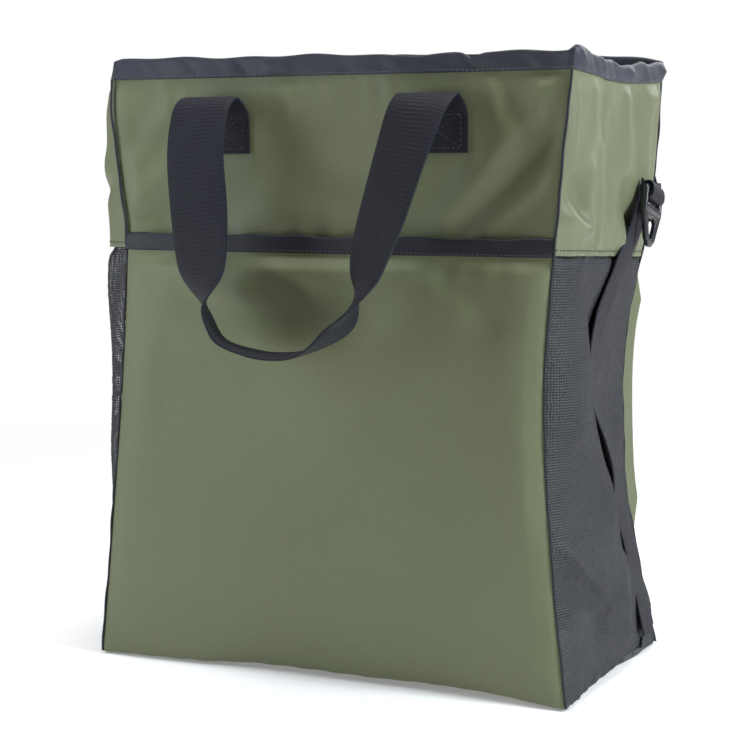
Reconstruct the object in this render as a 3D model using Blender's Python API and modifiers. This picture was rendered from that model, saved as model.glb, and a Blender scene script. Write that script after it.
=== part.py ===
"""Fruit picking bag: an open-topped soft bag of coated cloth on a stiff base board, with a front pocket,
mesh gussets, two webbing carry handles, and a webbing carry strap with a ladder lock on each side.

Metres in Blender, millimetres in the dimensions below. The front faces -Y, the wearer's side +Y, +Z is up,
and the origin is the middle of the underside of the base.
"""

import math

import bmesh
import bpy
from mathutils import Matrix, Vector

MM = 0.001
GAP = 0.4  # air left between two pieces that touch on the real bag

# The bag's shell
DEPTH = 186.0
CLOTH = 1.4
BASE_CLOTH = 2.0
BASE_INSET = 4.5
BOARD = 3.0
BOARD_INSET = 8.0
BOARD_FRONT_INSET = 12.0
PANEL_FOOT = 2.4  # the height at which the wall panels start
POCKET_TOP = 273.5
POCKET_ROOM = 8.0  # how far the front panel lies behind the pocket
POCKET_TAPE = 11.5
HEM = (276.0, 268.5)  # where each side panel ends and its gusset starts, at the front and at the back
RIM_TAPE = 12.5
RIM_THICK = 2.6
PIPING = 2.2  # radius of the tape bound over each corner seam
SEAM_CLEAR = PIPING + 0.9

# Webbing
HANDLE_WIDE = 40.0
HANDLE_THICK = 2.4
STRAP_WIDE = 25.0
STRAP_THICK = 1.6
FOLD_OUT = (104.0, 106.0)  # how far out the front and back handles cross their folds at the patches
HANDLE_MIDDLE = 3.0  # the x half-way between the two legs of a handle
HANDLE_SPREAD = 75.5  # from there to the middle of each leg
PATCH_FOOT = 337.0
FOLD_HIGH = 372.0  # the line at which a handle folds over and hangs

# Ladder lock
LOCK_WIDE = 34.0
LOCK_THICK = 3.0
LOCK_RAIL = 3.6
BAR = 3.4
BAR_ROUND = 2.9  # from the bar's middle to its corner
BAR_STEP = 13.0  # from the top bar to the grip bar
LOCK_TAIL = 25.0  # from the grip bar to the end of the thumb tab
LOCK_PLACE = (66.0, 313.0)  # y and z of the middle of the top bar
LOCK_TURN = math.radians(15.0)  # how far its foot swings towards the front
STRAP_TOP_TURN = 305.0  # where the upper strap turns round the back seam
LOCK_OFF = 8.4  # from the side panel, at the lock's front rail, to the top bar

# Half the width at the front corners, and how far the soft walls lean to the right, each by height
HALF_WIDTH = ((0, 167), (35, 163), (100, 156.5), (190, 150), (285, 150.5), (400, 158.5))
LEAN = ((0, 0), (100, -0.5), (190, 1), (285, 6.5), (400, 9))
BACK_PINCH = ((0, 2), (60, 8), (110, 13), (156, 12.5), (218, 11), (255, 6.5), (313, 1.2), (400, 3.5))
LEFT_SWELL = ((0, 0), (285, -1), (325, 3), (362, 5.4), (385, 3.5), (400, 0))
# How far each side wall stands proud of a straight line between its corners, by height
SIDE_BULGE = {
    1: (
        (0, -4), (19, 3), (45, 8), (72, 12), (119, 14),
        (147, 15.5), (205, 14.5), (228, 12), (269, 6.5), (400, 3),
    ),
    -1: (
        (0, -4), (30, 2), (92, 6), (160, 16), (221, 24),
        (275, 28), (327, 21), (357, 16), (378, 9), (400, 4),
    ),
}
# On the left the bulge is spread over the depth. On the right it is a slanting fold, with a valley
# behind it.
LEFT_CROWN = ((0, 0), (0.05, 0.62), (0.15, 0.85), (0.35, 1), (0.55, 0.7), (0.75, 0.25), (1, 0))
RIGHT_CREST = (
    (19, 0.6), (72, 0.6), (119, 0.51), (147, 0.39),
    (174, 0.28), (205, 0.25), (269, 0.2), (400, 0.2),
)
VALLEY = 0.22  # what is left of the bulge in the valley
VALLEY_WIDE = 32.0  # from the crest to the valley

COLOURS = {
    "olive_cloth": ((0.125, 0.145, 0.075, 1), 0.75),
    "black_tape": ((0.035, 0.037, 0.05, 1), 0.7),
    "black_mesh": ((0.045, 0.045, 0.048, 1), 0.85),
    "black_webbing": ((0.03, 0.032, 0.042, 1), 0.7),
    "black_plastic": ((0.02, 0.021, 0.024, 1), 0.35),
    "base_board": ((0.16, 0.16, 0.15, 1), 0.6),
}


def clear_scene():
    for old in list(bpy.data.objects):
        bpy.data.objects.remove(old)


def material(slot):
    found = bpy.data.materials.get(slot)
    if found:
        return found
    made = bpy.data.materials.new(slot)
    made.use_nodes = True
    shader = made.node_tree.nodes["Principled BSDF"]
    colour, roughness = COLOURS[slot]
    shader.inputs["Base Color"].default_value = colour
    shader.inputs["Roughness"].default_value = roughness
    made.diffuse_color = colour
    return made


def at_level(level, table):
    """A value read from a short table of (level, value), on a smooth curve through its points."""
    if level <= table[0][0]:
        return table[0][1]
    if level >= table[-1][0]:
        return table[-1][1]
    k = max(i for i, row in enumerate(table) if row[0] <= level)
    (x0, y0), (x1, y1) = table[k], table[k + 1]
    before = table[k - 1] if k > 0 else table[k]
    after = table[k + 2] if k + 2 < len(table) else table[k + 1]
    slope0 = (y1 - before[1]) / (x1 - before[0])
    slope1 = (after[1] - y0) / (after[0] - x0)
    t = (level - x0) / (x1 - x0)
    rise = (2 * t**3 - 3 * t**2 + 1) * y0 + (3 * t**2 - 2 * t**3) * y1
    return rise + (x1 - x0) * ((t**3 - 2 * t**2 + t) * slope0 + (t**3 - t**2) * slope1)


def corner(side, face, z):
    """The place of a corner seam: side -1 left or 1 right, face -1 front or 1 back."""
    half = at_level(z, HALF_WIDTH)
    if face > 0:
        half -= at_level(z, BACK_PINCH)
    elif side < 0:
        half += at_level(z, LEFT_SWELL)
    return Vector((at_level(z, LEAN) + side * half, face * DEPTH / 2, z))


def bowed(across, z):
    """How far the foot of a long wall is drawn in, and lifted, between its corners."""
    return (1 - across**2) * math.exp(-z / 26)


def front_point(across, z, behind=0.0):
    """The front wall. across runs from -1 at the left seam to 1 at the right."""
    place = corner(-1, -1, z).lerp(corner(1, -1, z), (across + 1) / 2)
    place.y += 14 * bowed(across, z) - 1.5 * (1 - across**2) + behind
    place.z += 7 * (1 + 0.3 * across) * bowed(across, z)
    return place


def front_panel_point(across, z):
    """The front panel itself, which leaves room for what the pocket holds."""
    least = CLOTH + GAP
    return front_point(across, z, least + (POCKET_ROOM - least) * (1 - across**8))


def back_point(across, z, behind=0.0):
    place = corner(-1, 1, z).lerp(corner(1, 1, z), (across + 1) / 2)
    place.y += 2.5 * (1 - across**2) - 8 * bowed(across, z) + behind
    place.z += 2 * bowed(across, z)
    return place


def crown(side, along, z):
    """The share of a side's bulge at a depth: 0 at both seams, 1 at its crest."""
    if side < 0:
        return at_level(along, LEFT_CROWN)
    crest = at_level(z, RIGHT_CREST)
    if along < crest:
        return 1 - (1 - along / crest) ** 2.2
    left_over = VALLEY * (1 - along) / (1 - crest)
    behind = min((along - crest) * DEPTH / VALLEY_WIDE, 1)
    return left_over + (1 - left_over) * (1 + math.cos(math.pi * behind)) / 2


def side_point(side, along, z):
    """A side wall. along runs from 0 at the front seam to 1 at the back."""
    place = corner(side, -1, z).lerp(corner(side, 1, z), along)
    place.x += side * at_level(z, SIDE_BULGE[side]) * crown(side, along, z)
    return place


def rim_foot(wall, along):
    """The height at which the rim's tape starts, along one wall from one seam to the next."""
    bow = math.sin(math.pi * along)
    lift = {"front": 0.0, "right": -4.0, "back": 12.0, "left": 5.0}[wall]
    return 385.5 + lift * bow


def collection():
    found = bpy.data.collections.get("fruit_picking_bag")
    if not found:
        found = bpy.data.collections.new("fruit_picking_bag")
        bpy.context.scene.collection.children.link(found)
    return found


def placed(name, data, slot, origin=None):
    """A new object in the bag's collection. Its mesh is in the bag's own frame; origin is where the object's
    own origin goes."""
    made = bpy.data.objects.new(name, data)
    collection().objects.link(made)
    data.materials.append(material(slot))
    if origin is not None:
        for vertex in data.vertices:
            vertex.co -= origin * MM
        made.location = origin * MM
    return made


def sheet_mesh(name, rows, columns, place, ring=False):
    """An open quad sheet, a grid whose points are placed by place(row 0..1, column 0..1)."""
    bpy.ops.mesh.primitive_grid_add(x_subdivisions=columns, y_subdivisions=rows, size=1)
    grid = bpy.context.object
    data = grid.data.copy()
    data.name = name
    bpy.data.objects.remove(grid)
    for vertex in data.vertices:
        vertex.co = place(vertex.co.y + 0.5, vertex.co.x + 0.5) * MM
    if ring:
        close_ring(data)
    return data


def close_ring(data):
    """Joins the first column of a sheet to the last, which lies on it."""
    work = bmesh.new()
    work.from_mesh(data)
    bmesh.ops.remove_doubles(work, verts=work.verts, dist=0.01 * MM)
    work.to_mesh(data)
    work.free()


def solidify(made, thickness, offset):
    shell = made.modifiers.new("thickness", "SOLIDIFY")
    shell.thickness = thickness * MM
    shell.offset = offset
    shell.use_even_offset = True
    made.data.shade_smooth()
    made.data.set_sharp_from_angle(angle=math.radians(40))
    return made


def wall(name, slot, rows, columns, place, inside):
    """A cloth panel. place gives its outer face; inside is -1 or 1, the side its thickness goes to."""
    return solidify(placed(name, sheet_mesh(name, rows, columns, place), slot), CLOTH, inside)


def heights(foot, wall_name=None, top=None):
    def height(row, along):
        high = top if top is not None else rim_foot(wall_name, along) - GAP
        return foot + row * (high - foot)

    return height


def across_between_seams(column, half=155.0):
    return (2 * column - 1) * (1 - SEAM_CLEAR / half)


def along_between_seams(column):
    return SEAM_CLEAR / DEPTH + column * (1 - 2 * SEAM_CLEAR / DEPTH)


def front_walls():
    body_height = heights(PANEL_FOOT, "front")

    def body(row, column):
        return front_panel_point(across_between_seams(column), body_height(row, column))

    wall("front_panel", "olive_cloth", 14, 16, body, -1)

    pocket_height = heights(PANEL_FOOT, top=POCKET_TOP)

    def pocket(row, column):
        return front_point(across_between_seams(column), pocket_height(row, column))

    wall("front_pocket", "olive_cloth", 12, 16, pocket, -1)

    tape_height = heights(POCKET_TOP + GAP, top=POCKET_TOP + POCKET_TAPE)

    def tape(row, column):
        return front_point(across_between_seams(column), tape_height(row, column), -0.5)

    made = placed("pocket_binding", sheet_mesh("pocket_binding", 2, 16, tape), "black_tape")
    solidify(made, CLOTH + 0.6, -1)


def back_wall():
    height = heights(PANEL_FOOT, "back")

    def place(row, column):
        return back_point(across_between_seams(column, 148.0), height(row, column))

    wall("back_panel", "olive_cloth", 14, 16, place, 1)


def hem(along):
    return HEM[0] + (HEM[1] - HEM[0]) * along


def side_walls(side, name):
    def upper(row, column):
        low, high = hem(column), rim_foot(name, column) - GAP
        return side_point(side, along_between_seams(column), low + row * (high - low))

    def lower(row, column):
        z = PANEL_FOOT + row * (hem(column) - GAP - PANEL_FOOT)
        return side_point(side, along_between_seams(column), z)

    wall(name + "_side_panel", "olive_cloth", 6, 12, upper, -side)
    wall(name + "_mesh_gusset", "black_mesh", 14, 12, lower, -side)


def seam_bindings():
    """The tape over each corner seam, from the base to the rim's tape."""
    for side, side_name in ((-1, "left"), (1, "right")):
        for face, face_name in ((-1, "front"), (1, "back")):
            name = f"{face_name}_{side_name}_seam_binding"
            curve = bpy.data.curves.new(name, "CURVE")
            curve.dimensions = "3D"
            curve.bevel_depth = PIPING * MM
            curve.bevel_resolution = 2
            curve.use_fill_caps = True
            steps = 16
            spline = curve.splines.new("POLY")
            spline.points.add(steps)
            top = rim_foot("front", 0) - GAP
            for k, point in enumerate(spline.points):
                z = PANEL_FOOT + PIPING + k / steps * (top - PANEL_FOOT - PIPING)
                point.co = (*corner(side, face, z) * MM, 1)
            placed(name, curve, "black_tape")


def rim_tape():
    """The tape that wraps the mouth: one closed band along the four walls."""
    walls = (
        ("front", lambda t, z: front_panel_point(2 * t - 1, z)),
        ("right", lambda t, z: side_point(1, t, z)),
        ("back", lambda t, z: back_point(1 - 2 * t, z)),
        ("left", lambda t, z: side_point(-1, 1 - t, z)),
    )

    def place(row, column):
        span = (column * 4) % 4
        name, point = walls[int(span)]
        along = 0.02 + 0.96 * (span - int(span))
        foot = rim_foot(name, along)
        return point(along, foot + row * RIM_TAPE)

    data = sheet_mesh("rim_binding", 2, 64, place, ring=True)
    solidify(placed("rim_binding", data, "black_tape"), RIM_THICK, 0)


def outline_plate(name, slot, points, foot, thick):
    """A flat plate: a filled 2D outline, extruded by half its thickness each way."""
    curve = bpy.data.curves.new(name, "CURVE")
    curve.dimensions = "2D"
    curve.fill_mode = "BOTH"
    curve.extrude = thick / 2 * MM
    spline = curve.splines.new("POLY")
    spline.points.add(len(points) - 1)
    spline.use_cyclic_u = True
    for point, place in zip(spline.points, points):
        point.co = (place[0] * MM, place[1] * MM, 0, 1)
    made = placed(name, curve, slot)
    made.location.z = (foot + thick / 2) * MM
    return made


def base():
    """The base cloth, flat on the ground, and the stiff board that lies on it."""

    def outline(front_inset, inset):
        steps = 14
        shrink = 1 - inset / HALF_WIDTH[0][1]
        front, back = front_inset - DEPTH / 2, DEPTH / 2 - inset
        ends = [k / steps for k in range(steps + 1)]
        right = [side_point(1, t, 0) for t in ends]
        left = [side_point(-1, 1 - t, 0) for t in ends]
        points = [front_point(2 * t - 1, 0, front_inset) for t in ends]
        points += [point for point in right if front + 4 < point.y < back - 4]
        points += [back_point(1 - 2 * t, 0, -inset) for t in ends]
        points += [point for point in left if front + 4 < point.y < back - 4]
        return [(point.x * shrink, point.y) for point in points]

    outline_plate("base_panel", "olive_cloth", outline(BASE_INSET, BASE_INSET), 0, BASE_CLOTH)
    board = outline(BOARD_FRONT_INSET, BOARD_INSET)
    outline_plate("base_board", "base_board", board, BASE_CLOTH + GAP, BOARD)


def smooth_path(points, steps):
    """Points on a smooth curve through the given (place, width direction) pairs."""
    path = []
    last = len(points) - 1
    for k in range(last):
        p0, p1, p2, p3 = (points[max(k - 1, 0)], points[k], points[k + 1], points[min(k + 2, last)])
        for j in range(steps + (k == last - 1)):
            t = j / steps
            place = 0.5 * (
                2 * p1[0]
                + (p2[0] - p0[0]) * t
                + (2 * p0[0] - 5 * p1[0] + 4 * p2[0] - p3[0]) * t**2
                + (3 * p1[0] - p0[0] - 3 * p2[0] + p3[0]) * t**3
            )
            path.append((place, p1[1].lerp(p2[1], t).normalized()))
    return path


def ribbon(name, slot, points, steps, wide, thick, origin=None):
    """Flat webbing along a path, each point with the direction of its width."""
    path = smooth_path(points, steps)

    def place(row, column):
        k = round(row * (len(path) - 1))
        middle, across = path[k]
        before, after = path[max(k - 1, 0)][0], path[min(k + 1, len(path) - 1)][0]
        along = (after - before).normalized()
        across = (across - across.dot(along) * along).normalized()
        return middle + across * wide * (column - 0.5)

    data = sheet_mesh(name, len(path) - 1, 2, place)
    made = placed(name, data, slot, origin)
    return solidify(made, thick, 0)


def panel_at(face, x, z):
    """The y of the outer face of the front or back panel at a place."""
    across = (x - at_level(z, LEAN)) / at_level(z, HALF_WIDTH)
    if face < 0:
        return front_panel_point(across, z).y
    return back_point(across, z).y


def handle(face, name):
    """A carry handle: two ends sewn flat on a panel, and the loop that hangs from their fold."""
    wide_x = Vector((1, 0, 0))
    fold_y = {-1: -FOLD_OUT[0], 1: FOLD_OUT[1]}[face]
    lie = HANDLE_THICK / 2 + GAP + 0.5
    for side, side_name in ((-1, "left"), (1, "right")):
        x = HANDLE_MIDDLE + side * HANDLE_SPREAD
        low = panel_at(face, x, PATCH_FOOT) + face * lie
        high = panel_at(face, x, 362) + face * (lie + 1.2)
        end = [
            (Vector((x, low, PATCH_FOOT)), wide_x),
            (Vector((x, panel_at(face, x, 350) + face * lie, 350)), wide_x),
            (Vector((x, high, 362)), wide_x),
            (Vector((x, fold_y - face * 4.6, FOLD_HIGH - 1.6)), wide_x),
        ]
        ribbon(f"{name}_{side_name}_end", "black_webbing", end, 4, HANDLE_WIDE, HANDLE_THICK)
    loop = [
        (-75.5, 2.2, 371.0, (1, 0)),
        (-75.5, 12.0, 362.0, (1, 0)),
        (-72.5, 23.0, 336.0, (1, 0)),
        (-67.5, 28.0, 300.0, (1, 0)),
        (-64.5, 30.0, 266.0, (0.97, 0.25)),
        (-61.0, 31.0, 240.0, (0.45, 0.9)),
        (-50.0, 32.0, 222.0, (0.43, 0.9)),
        (-26.0, 32.0, 214.0, (0.4, 0.92)),
        (-2.0, 32.0, 213.5, (0.3, 0.95)),
        (16.0, 32.0, 219.0, (0.12, 1)),
        (31.0, 31.0, 231.0, (-0.02, 1)),
        (42.0, 31.0, 248.0, (0.43, 0.9)),
        (47.5, 30.0, 264.0, (0.79, 0.62)),
        (53.0, 29.0, 282.0, (0.88, 0.47)),
        (61.5, 28.0, 308.0, (0.94, 0.34)),
        (68.0, 22.0, 336.0, (0.97, 0.24)),
        (73.0, 12.0, 361.0, (0.99, 0.1)),
        (75.5, 2.2, 371.0, (1, 0)),
    ]
    points = []
    for x, off, z, (across_x, across_y) in loop:
        across = Vector((across_x, face * across_y, 0)).normalized()
        points.append((Vector((HANDLE_MIDDLE + x, fold_y + face * off, z)), across))
    hinge = Vector((HANDLE_MIDDLE, fold_y, FOLD_HIGH))
    ribbon(name, "black_webbing", points, 3, HANDLE_WIDE, HANDLE_THICK, hinge)


def side_x(side, y, z):
    """The x of the outer face of a side wall."""
    return side_point(side, (y + DEPTH / 2) / DEPTH, z).x


def side_facing(side, y, z):
    """The direction that a side wall faces, taken over a reach of cloth as wide as the strap."""
    reach = 9.0
    fore_and_aft = (side_x(side, y + reach, z) - side_x(side, y - reach, z)) / (2 * reach)
    up_and_down = (side_x(side, y, z + reach) - side_x(side, y, z - reach)) / (2 * reach)
    return Vector((1, -fore_and_aft, -up_and_down)).normalized() * side


def lock_frame(side):
    """The middle of the ladder lock's top bar, and the directions across it and down it."""
    y, z = LOCK_PLACE
    centre = Vector((side_x(side, y - LOCK_WIDE / 2, z) + side * LOCK_OFF, y, z))
    across = Vector((0, math.cos(LOCK_TURN), -math.sin(LOCK_TURN)))
    down = Vector((0, -math.sin(LOCK_TURN), -math.cos(LOCK_TURN)))
    return centre, across, down


def strap(side, name):
    """The webbing on one side: the lower strap from the foot of the back seam, up over the lock's top bar
    and in through it, the upper strap from behind the lock to the back seam, and its end on the back
    panel."""
    centre, across, down = lock_frame(side)
    out = Vector((side, 0, 0))
    turn = BAR_ROUND + GAP + STRAP_THICK / 2
    route = (
        (72.0, 14.0, 4.4),
        (68.5, 38.0, 4.2),
        (64.0, 62.0, 4.0),
        (57.0, 88.0, 4.0),
        (41.0, 109.0, 4.2),
        (24.0, 125.0, 5.0),
        (7.0, 141.0, 5.8),
        (-8.0, 159.0, 6.2),
        (-16.0, 181.0, 5.6),
        (-14.0, 205.0, 4.6),
        (-2.0, 227.0, 4.2),
        (12.0, 241.0, 3.8),
        (26.0, 254.0, 3.8),
        (39.0, 270.0, 3.8),
        (52.0, 287.0, 4.0),
    )
    points = []
    places = [
        side_point(side, (y + DEPTH / 2) / DEPTH, z) + side_facing(side, y, z) * off for y, z, off in route
    ]
    for k, (y, z, _) in enumerate(route):
        ahead = places[min(k + 1, len(places) - 1)] - places[max(k - 1, 0)]
        points.append((places[k], side_facing(side, y, z).cross(ahead).normalized() * -side))
    points.append((centre + down * 8 - out * turn - across * 4, across))
    for degrees in (0, 45, 90, 135, 180):
        angle = math.radians(degrees)
        arc = -math.cos(angle) * out - math.sin(angle) * down
        points.append((centre + arc * turn, across))
    points.append((centre + down * 4.5 + out * turn, across))
    points.append((centre + down * 6.6 + out * (turn - 1.6), across))
    points.append((centre + down * 6.9, across))
    ribbon(f"{name}_lower_strap", "black_webbing", points, 3, STRAP_WIDE, STRAP_THICK)

    back = DEPTH / 2 + STRAP_THICK / 2 + GAP
    up = Vector((0, 0, 1))
    edge = corner(side, 1, STRAP_TOP_TURN)
    upper = [
        (Vector((side_x(side, 78, 300) + side * 4.0, 79.0, 302.0)), up),
        (Vector((edge.x + side * 6.0, 87.0, 304.4)), up),
        (Vector((edge.x + side * 6.4, 92.5, STRAP_TOP_TURN)), up),
    ]
    ribbon(f"{name}_upper_strap", "black_webbing", upper, 4, STRAP_WIDE, STRAP_THICK)

    anchor_x = at_level(360, LEAN) + side * 130.0
    end = [
        (Vector((edge.x + side * 6.0, 95.0, STRAP_TOP_TURN + 0.2)), up),
        (Vector((edge.x + side * 3.4, back + 2.6, STRAP_TOP_TURN + 0.4)), up),
        (Vector((edge.x - side * 7.0, back + 6.0, 307.0)), up),
        (Vector((anchor_x + side * 3.0, back + 5.0, 338.0)), Vector((side, 0, 0.8)).normalized()),
        (Vector((anchor_x, back + 1.8, 352.0)), Vector((side, 0, 0))),
        (Vector((anchor_x, back + 1.0, 374.0)), Vector((side, 0, 0))),
    ]
    ribbon(f"{name}_strap_top_end", "black_webbing", end, 4, STRAP_WIDE, STRAP_THICK)


def lock(side, name):
    """A ladder lock: two rails, a top bar, a grip bar, and a tapered thumb tab with an open middle."""
    centre, across, down = lock_frame(side)
    out = Vector((side, 0, 0))
    half = LOCK_WIDE / 2
    tip = BAR_STEP + LOCK_TAIL
    outer = [
        (-half, -BAR / 2),
        (half, -BAR / 2),
        (half, BAR_STEP + 4),
        (half * 0.42, tip - 4),
        (half * 0.2, tip),
        (-half * 0.2, tip),
        (-half * 0.42, tip - 4),
        (-half, BAR_STEP + 4),
    ]
    inner = half - LOCK_RAIL
    slots = (
        [(-inner, BAR / 2), (inner, BAR / 2), (inner, BAR_STEP - BAR / 2), (-inner, BAR_STEP - BAR / 2)],
        [
            (-inner * 0.62, BAR_STEP + BAR + 3),
            (inner * 0.62, BAR_STEP + BAR + 3),
            (inner * 0.2, tip - 6),
            (-inner * 0.2, tip - 6),
        ],
    )
    curve = bpy.data.curves.new(f"{name}_ladder_lock", "CURVE")
    curve.dimensions = "2D"
    curve.fill_mode = "BOTH"
    curve.extrude = LOCK_THICK / 2 * MM
    for outline in (outer, *slots):
        spline = curve.splines.new("POLY")
        spline.points.add(len(outline) - 1)
        spline.use_cyclic_u = True
        for point, (x, y) in zip(spline.points, outline):
            point.co = (x * MM, -y * MM, 0, 1)
    made = placed(curve.name, curve, "black_plastic")
    made.matrix_world = axes_matrix(across * side, -down, out, centre * MM)


def axes_matrix(x, y, z, origin):
    rows = [(x[k], y[k], z[k], origin[k]) for k in range(3)]
    return Matrix((*rows, (0, 0, 0, 1)))


def strap_anchor(side, name):
    """The cloth tab sewn into the foot of the back seam, that the lower strap starts from."""
    corners = ((82.0, 5.0), (58.0, 5.0), (64.0, 11.0), (78.0, 11.0))

    def place(row, column):
        foot = Vector((corners[0][0] + (corners[1][0] - corners[0][0]) * column, corners[0][1]))
        head = Vector((corners[3][0] + (corners[2][0] - corners[3][0]) * column, corners[2][1]))
        y, z = foot.lerp(head, row)
        return Vector((side_x(side, y, z) + side * 1.7, y, z))

    data = sheet_mesh(f"{name}_strap_anchor", 2, 3, place)
    solidify(placed(f"{name}_strap_anchor", data, "black_tape"), 1.6, 0)


def build():
    clear_scene()
    base()
    front_walls()
    back_wall()
    seam_bindings()
    rim_tape()
    handle(-1, "front_handle")
    handle(1, "back_handle")
    for side, name in ((-1, "left"), (1, "right")):
        side_walls(side, name)
        strap_anchor(side, name)
        strap(side, name)
        lock(side, name)


build()
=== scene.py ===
"""The looks of the fruit picking bag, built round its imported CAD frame.

Shapes below are in the bag's millimetres, in the CAD's frame: front -Y, right +X, up +Z, and the origin in
the middle of the underside of the base. They become metres when a mesh is made.
"""

import math

import bpy
import numpy as np
from mathutils import Matrix, Vector


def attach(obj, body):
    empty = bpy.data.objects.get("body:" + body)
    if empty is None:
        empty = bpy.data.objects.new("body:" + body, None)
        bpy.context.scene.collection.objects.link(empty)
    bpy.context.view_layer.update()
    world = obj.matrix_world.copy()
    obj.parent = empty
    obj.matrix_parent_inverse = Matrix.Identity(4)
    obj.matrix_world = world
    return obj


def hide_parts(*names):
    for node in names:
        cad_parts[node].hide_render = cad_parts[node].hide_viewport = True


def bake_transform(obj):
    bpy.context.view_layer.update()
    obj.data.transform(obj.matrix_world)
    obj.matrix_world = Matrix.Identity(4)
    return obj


MM = 0.001
TURN = 2 * math.pi

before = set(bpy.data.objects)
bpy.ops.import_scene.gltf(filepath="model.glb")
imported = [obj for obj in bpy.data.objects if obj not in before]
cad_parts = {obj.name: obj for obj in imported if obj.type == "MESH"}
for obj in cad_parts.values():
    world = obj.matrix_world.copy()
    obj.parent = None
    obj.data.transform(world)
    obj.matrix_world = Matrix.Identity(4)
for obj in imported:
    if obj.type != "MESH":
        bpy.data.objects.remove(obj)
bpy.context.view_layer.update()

# ---------------------------------------------------------------- the shape, as the CAD has it

DEPTH = 186.0
CLOTH = 1.2
GAP = 0.4
POCKET_TOP = 273.5
POCKET_ROOM = 8.0
POCKET_TAPE = 11.5
HEM = (276.0, 268.5)  # at the front and at the back
RIM_FOOT = 385.5
RIM_TAPE = 12.5
RIM_THICK = 3.4
POCKET_TAPE_THICK = 3.0
THREAD_PROUD = 0.12  # how far a thread's middle is above the face that it is sewn on
HANDLE_WIDE = 40.0
HANDLE_THICK = 2.2
STRAP_WIDE = 25.0
STRAP_THICK = 1.5
HANDLE_MIDDLE = 3.0
HANDLE_SPREAD = 75.5
PATCH_FOOT = 337.0
FOLD_OUT = {-1: 104.0, 1: 106.0}  # how far out the front and back handles cross their folds
LOCK_WIDE = 34.0
LOCK_THICK = 3.0
LOCK_RAIL = 3.6
BAR = 3.4
BAR_ROUND = 2.9
BAR_STEP = 13.0
LOCK_TAIL = 25.0
LOCK_PLACE = (66.0, 313.0)
LOCK_TURN = math.radians(15.0)
STRAP_TOP_TURN = 305.0
LOCK_OFF = 8.4
SEAM_CLEAR = 0.4  # how near the cloth comes to the middle of a corner seam

HALF_WIDTH = ((0, 167), (35, 163), (100, 156.5), (190, 150), (285, 150.5), (400, 158.5))
LEAN = ((0, 0), (100, -0.5), (190, 1), (285, 6.5), (400, 9))
BACK_PINCH = ((0, 2), (60, 8), (110, 13), (156, 12.5), (218, 11), (255, 6.5), (313, 1.2), (400, 3.5))
LEFT_SWELL = ((0, 0), (285, -1), (325, 3), (362, 5.4), (385, 3.5), (400, 0))
SIDE_BULGE = {
    1: ((0, -4), (19, 3), (45, 8), (72, 12), (119, 14),
        (147, 15.5), (205, 14.5), (228, 12), (269, 6.5), (400, 3)),
    -1: ((0, -4), (30, 2), (92, 6), (160, 16), (221, 24),
         (275, 28), (327, 21), (357, 16), (378, 9), (400, 4)),
}
LEFT_CROWN = ((0, 0), (0.05, 0.62), (0.15, 0.85), (0.35, 1), (0.55, 0.7), (0.75, 0.25), (1, 0))
RIGHT_CREST = ((19, 0.6), (72, 0.6), (119, 0.51), (147, 0.39),
               (174, 0.28), (205, 0.25), (269, 0.2), (400, 0.2))
VALLEY = 0.22
VALLEY_WIDE = 32.0


def at_level(level, table):
    """The value at a level, on a smooth curve through the table's (level, value) rows."""
    if level <= table[0][0]:
        return table[0][1]
    if level >= table[-1][0]:
        return table[-1][1]
    k = max(i for i, row in enumerate(table) if row[0] <= level)
    (x0, y0), (x1, y1) = table[k], table[k + 1]
    before = table[k - 1] if k > 0 else table[k]
    after = table[k + 2] if k + 2 < len(table) else table[k + 1]
    slope0 = (y1 - before[1]) / (x1 - before[0])
    slope1 = (after[1] - y0) / (after[0] - x0)
    t = (level - x0) / (x1 - x0)
    rise = (2 * t**3 - 3 * t**2 + 1) * y0 + (3 * t**2 - 2 * t**3) * y1
    return rise + (x1 - x0) * ((t**3 - 2 * t**2 + t) * slope0 + (t**3 - t**2) * slope1)


def sampled(table):
    """The same curve as a function of a whole array of levels."""
    levels = np.linspace(table[0][0], table[-1][0], 801)
    values = np.array([at_level(level, table) for level in levels])
    return lambda level: np.interp(level, levels, values)


half_width, lean = sampled(HALF_WIDTH), sampled(LEAN)
back_pinch, left_swell = sampled(BACK_PINCH), sampled(LEFT_SWELL)
side_bulge = {side: sampled(table) for side, table in SIDE_BULGE.items()}
left_crown, right_crest = sampled(LEFT_CROWN), sampled(RIGHT_CREST)


def xyz(x, y, z):
    return np.stack(np.broadcast_arrays(x, y, z), axis=-1).astype(float)


def corner(side, face, z):
    """The middle of a corner seam: side is -1 left or 1 right, face is -1 front or 1 back."""
    half = half_width(z)
    if face > 0:
        half = half - back_pinch(z)
    elif side < 0:
        half = half + left_swell(z)
    return xyz(lean(z) + side * half, face * DEPTH / 2, z)


def between(a, b, t):
    return a + (b - a) * np.asarray(t)[..., None]


def bowed(across, z):
    """How much of the foot's bow there is: all of it in the middle of the foot, none at the corners."""
    return (1 - across**2) * np.exp(-z / 26)


def front_point(across, z, behind=0.0):
    place = between(corner(-1, -1, z), corner(1, -1, z), (across + 1) / 2)
    place[..., 1] += 14 * bowed(across, z) - 1.5 * (1 - across**2) + behind
    place[..., 2] += 7 * (1 + 0.3 * across) * bowed(across, z)
    return place


def front_panel_point(across, z):
    least = CLOTH + 0.2 + GAP
    return front_point(across, z, least + (POCKET_ROOM - least) * (1 - across**8))


def back_point(across, z):
    place = between(corner(-1, 1, z), corner(1, 1, z), (across + 1) / 2)
    place[..., 1] += 2.5 * (1 - across**2) - 8 * bowed(across, z)
    place[..., 2] += 2 * bowed(across, z)
    return place


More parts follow.
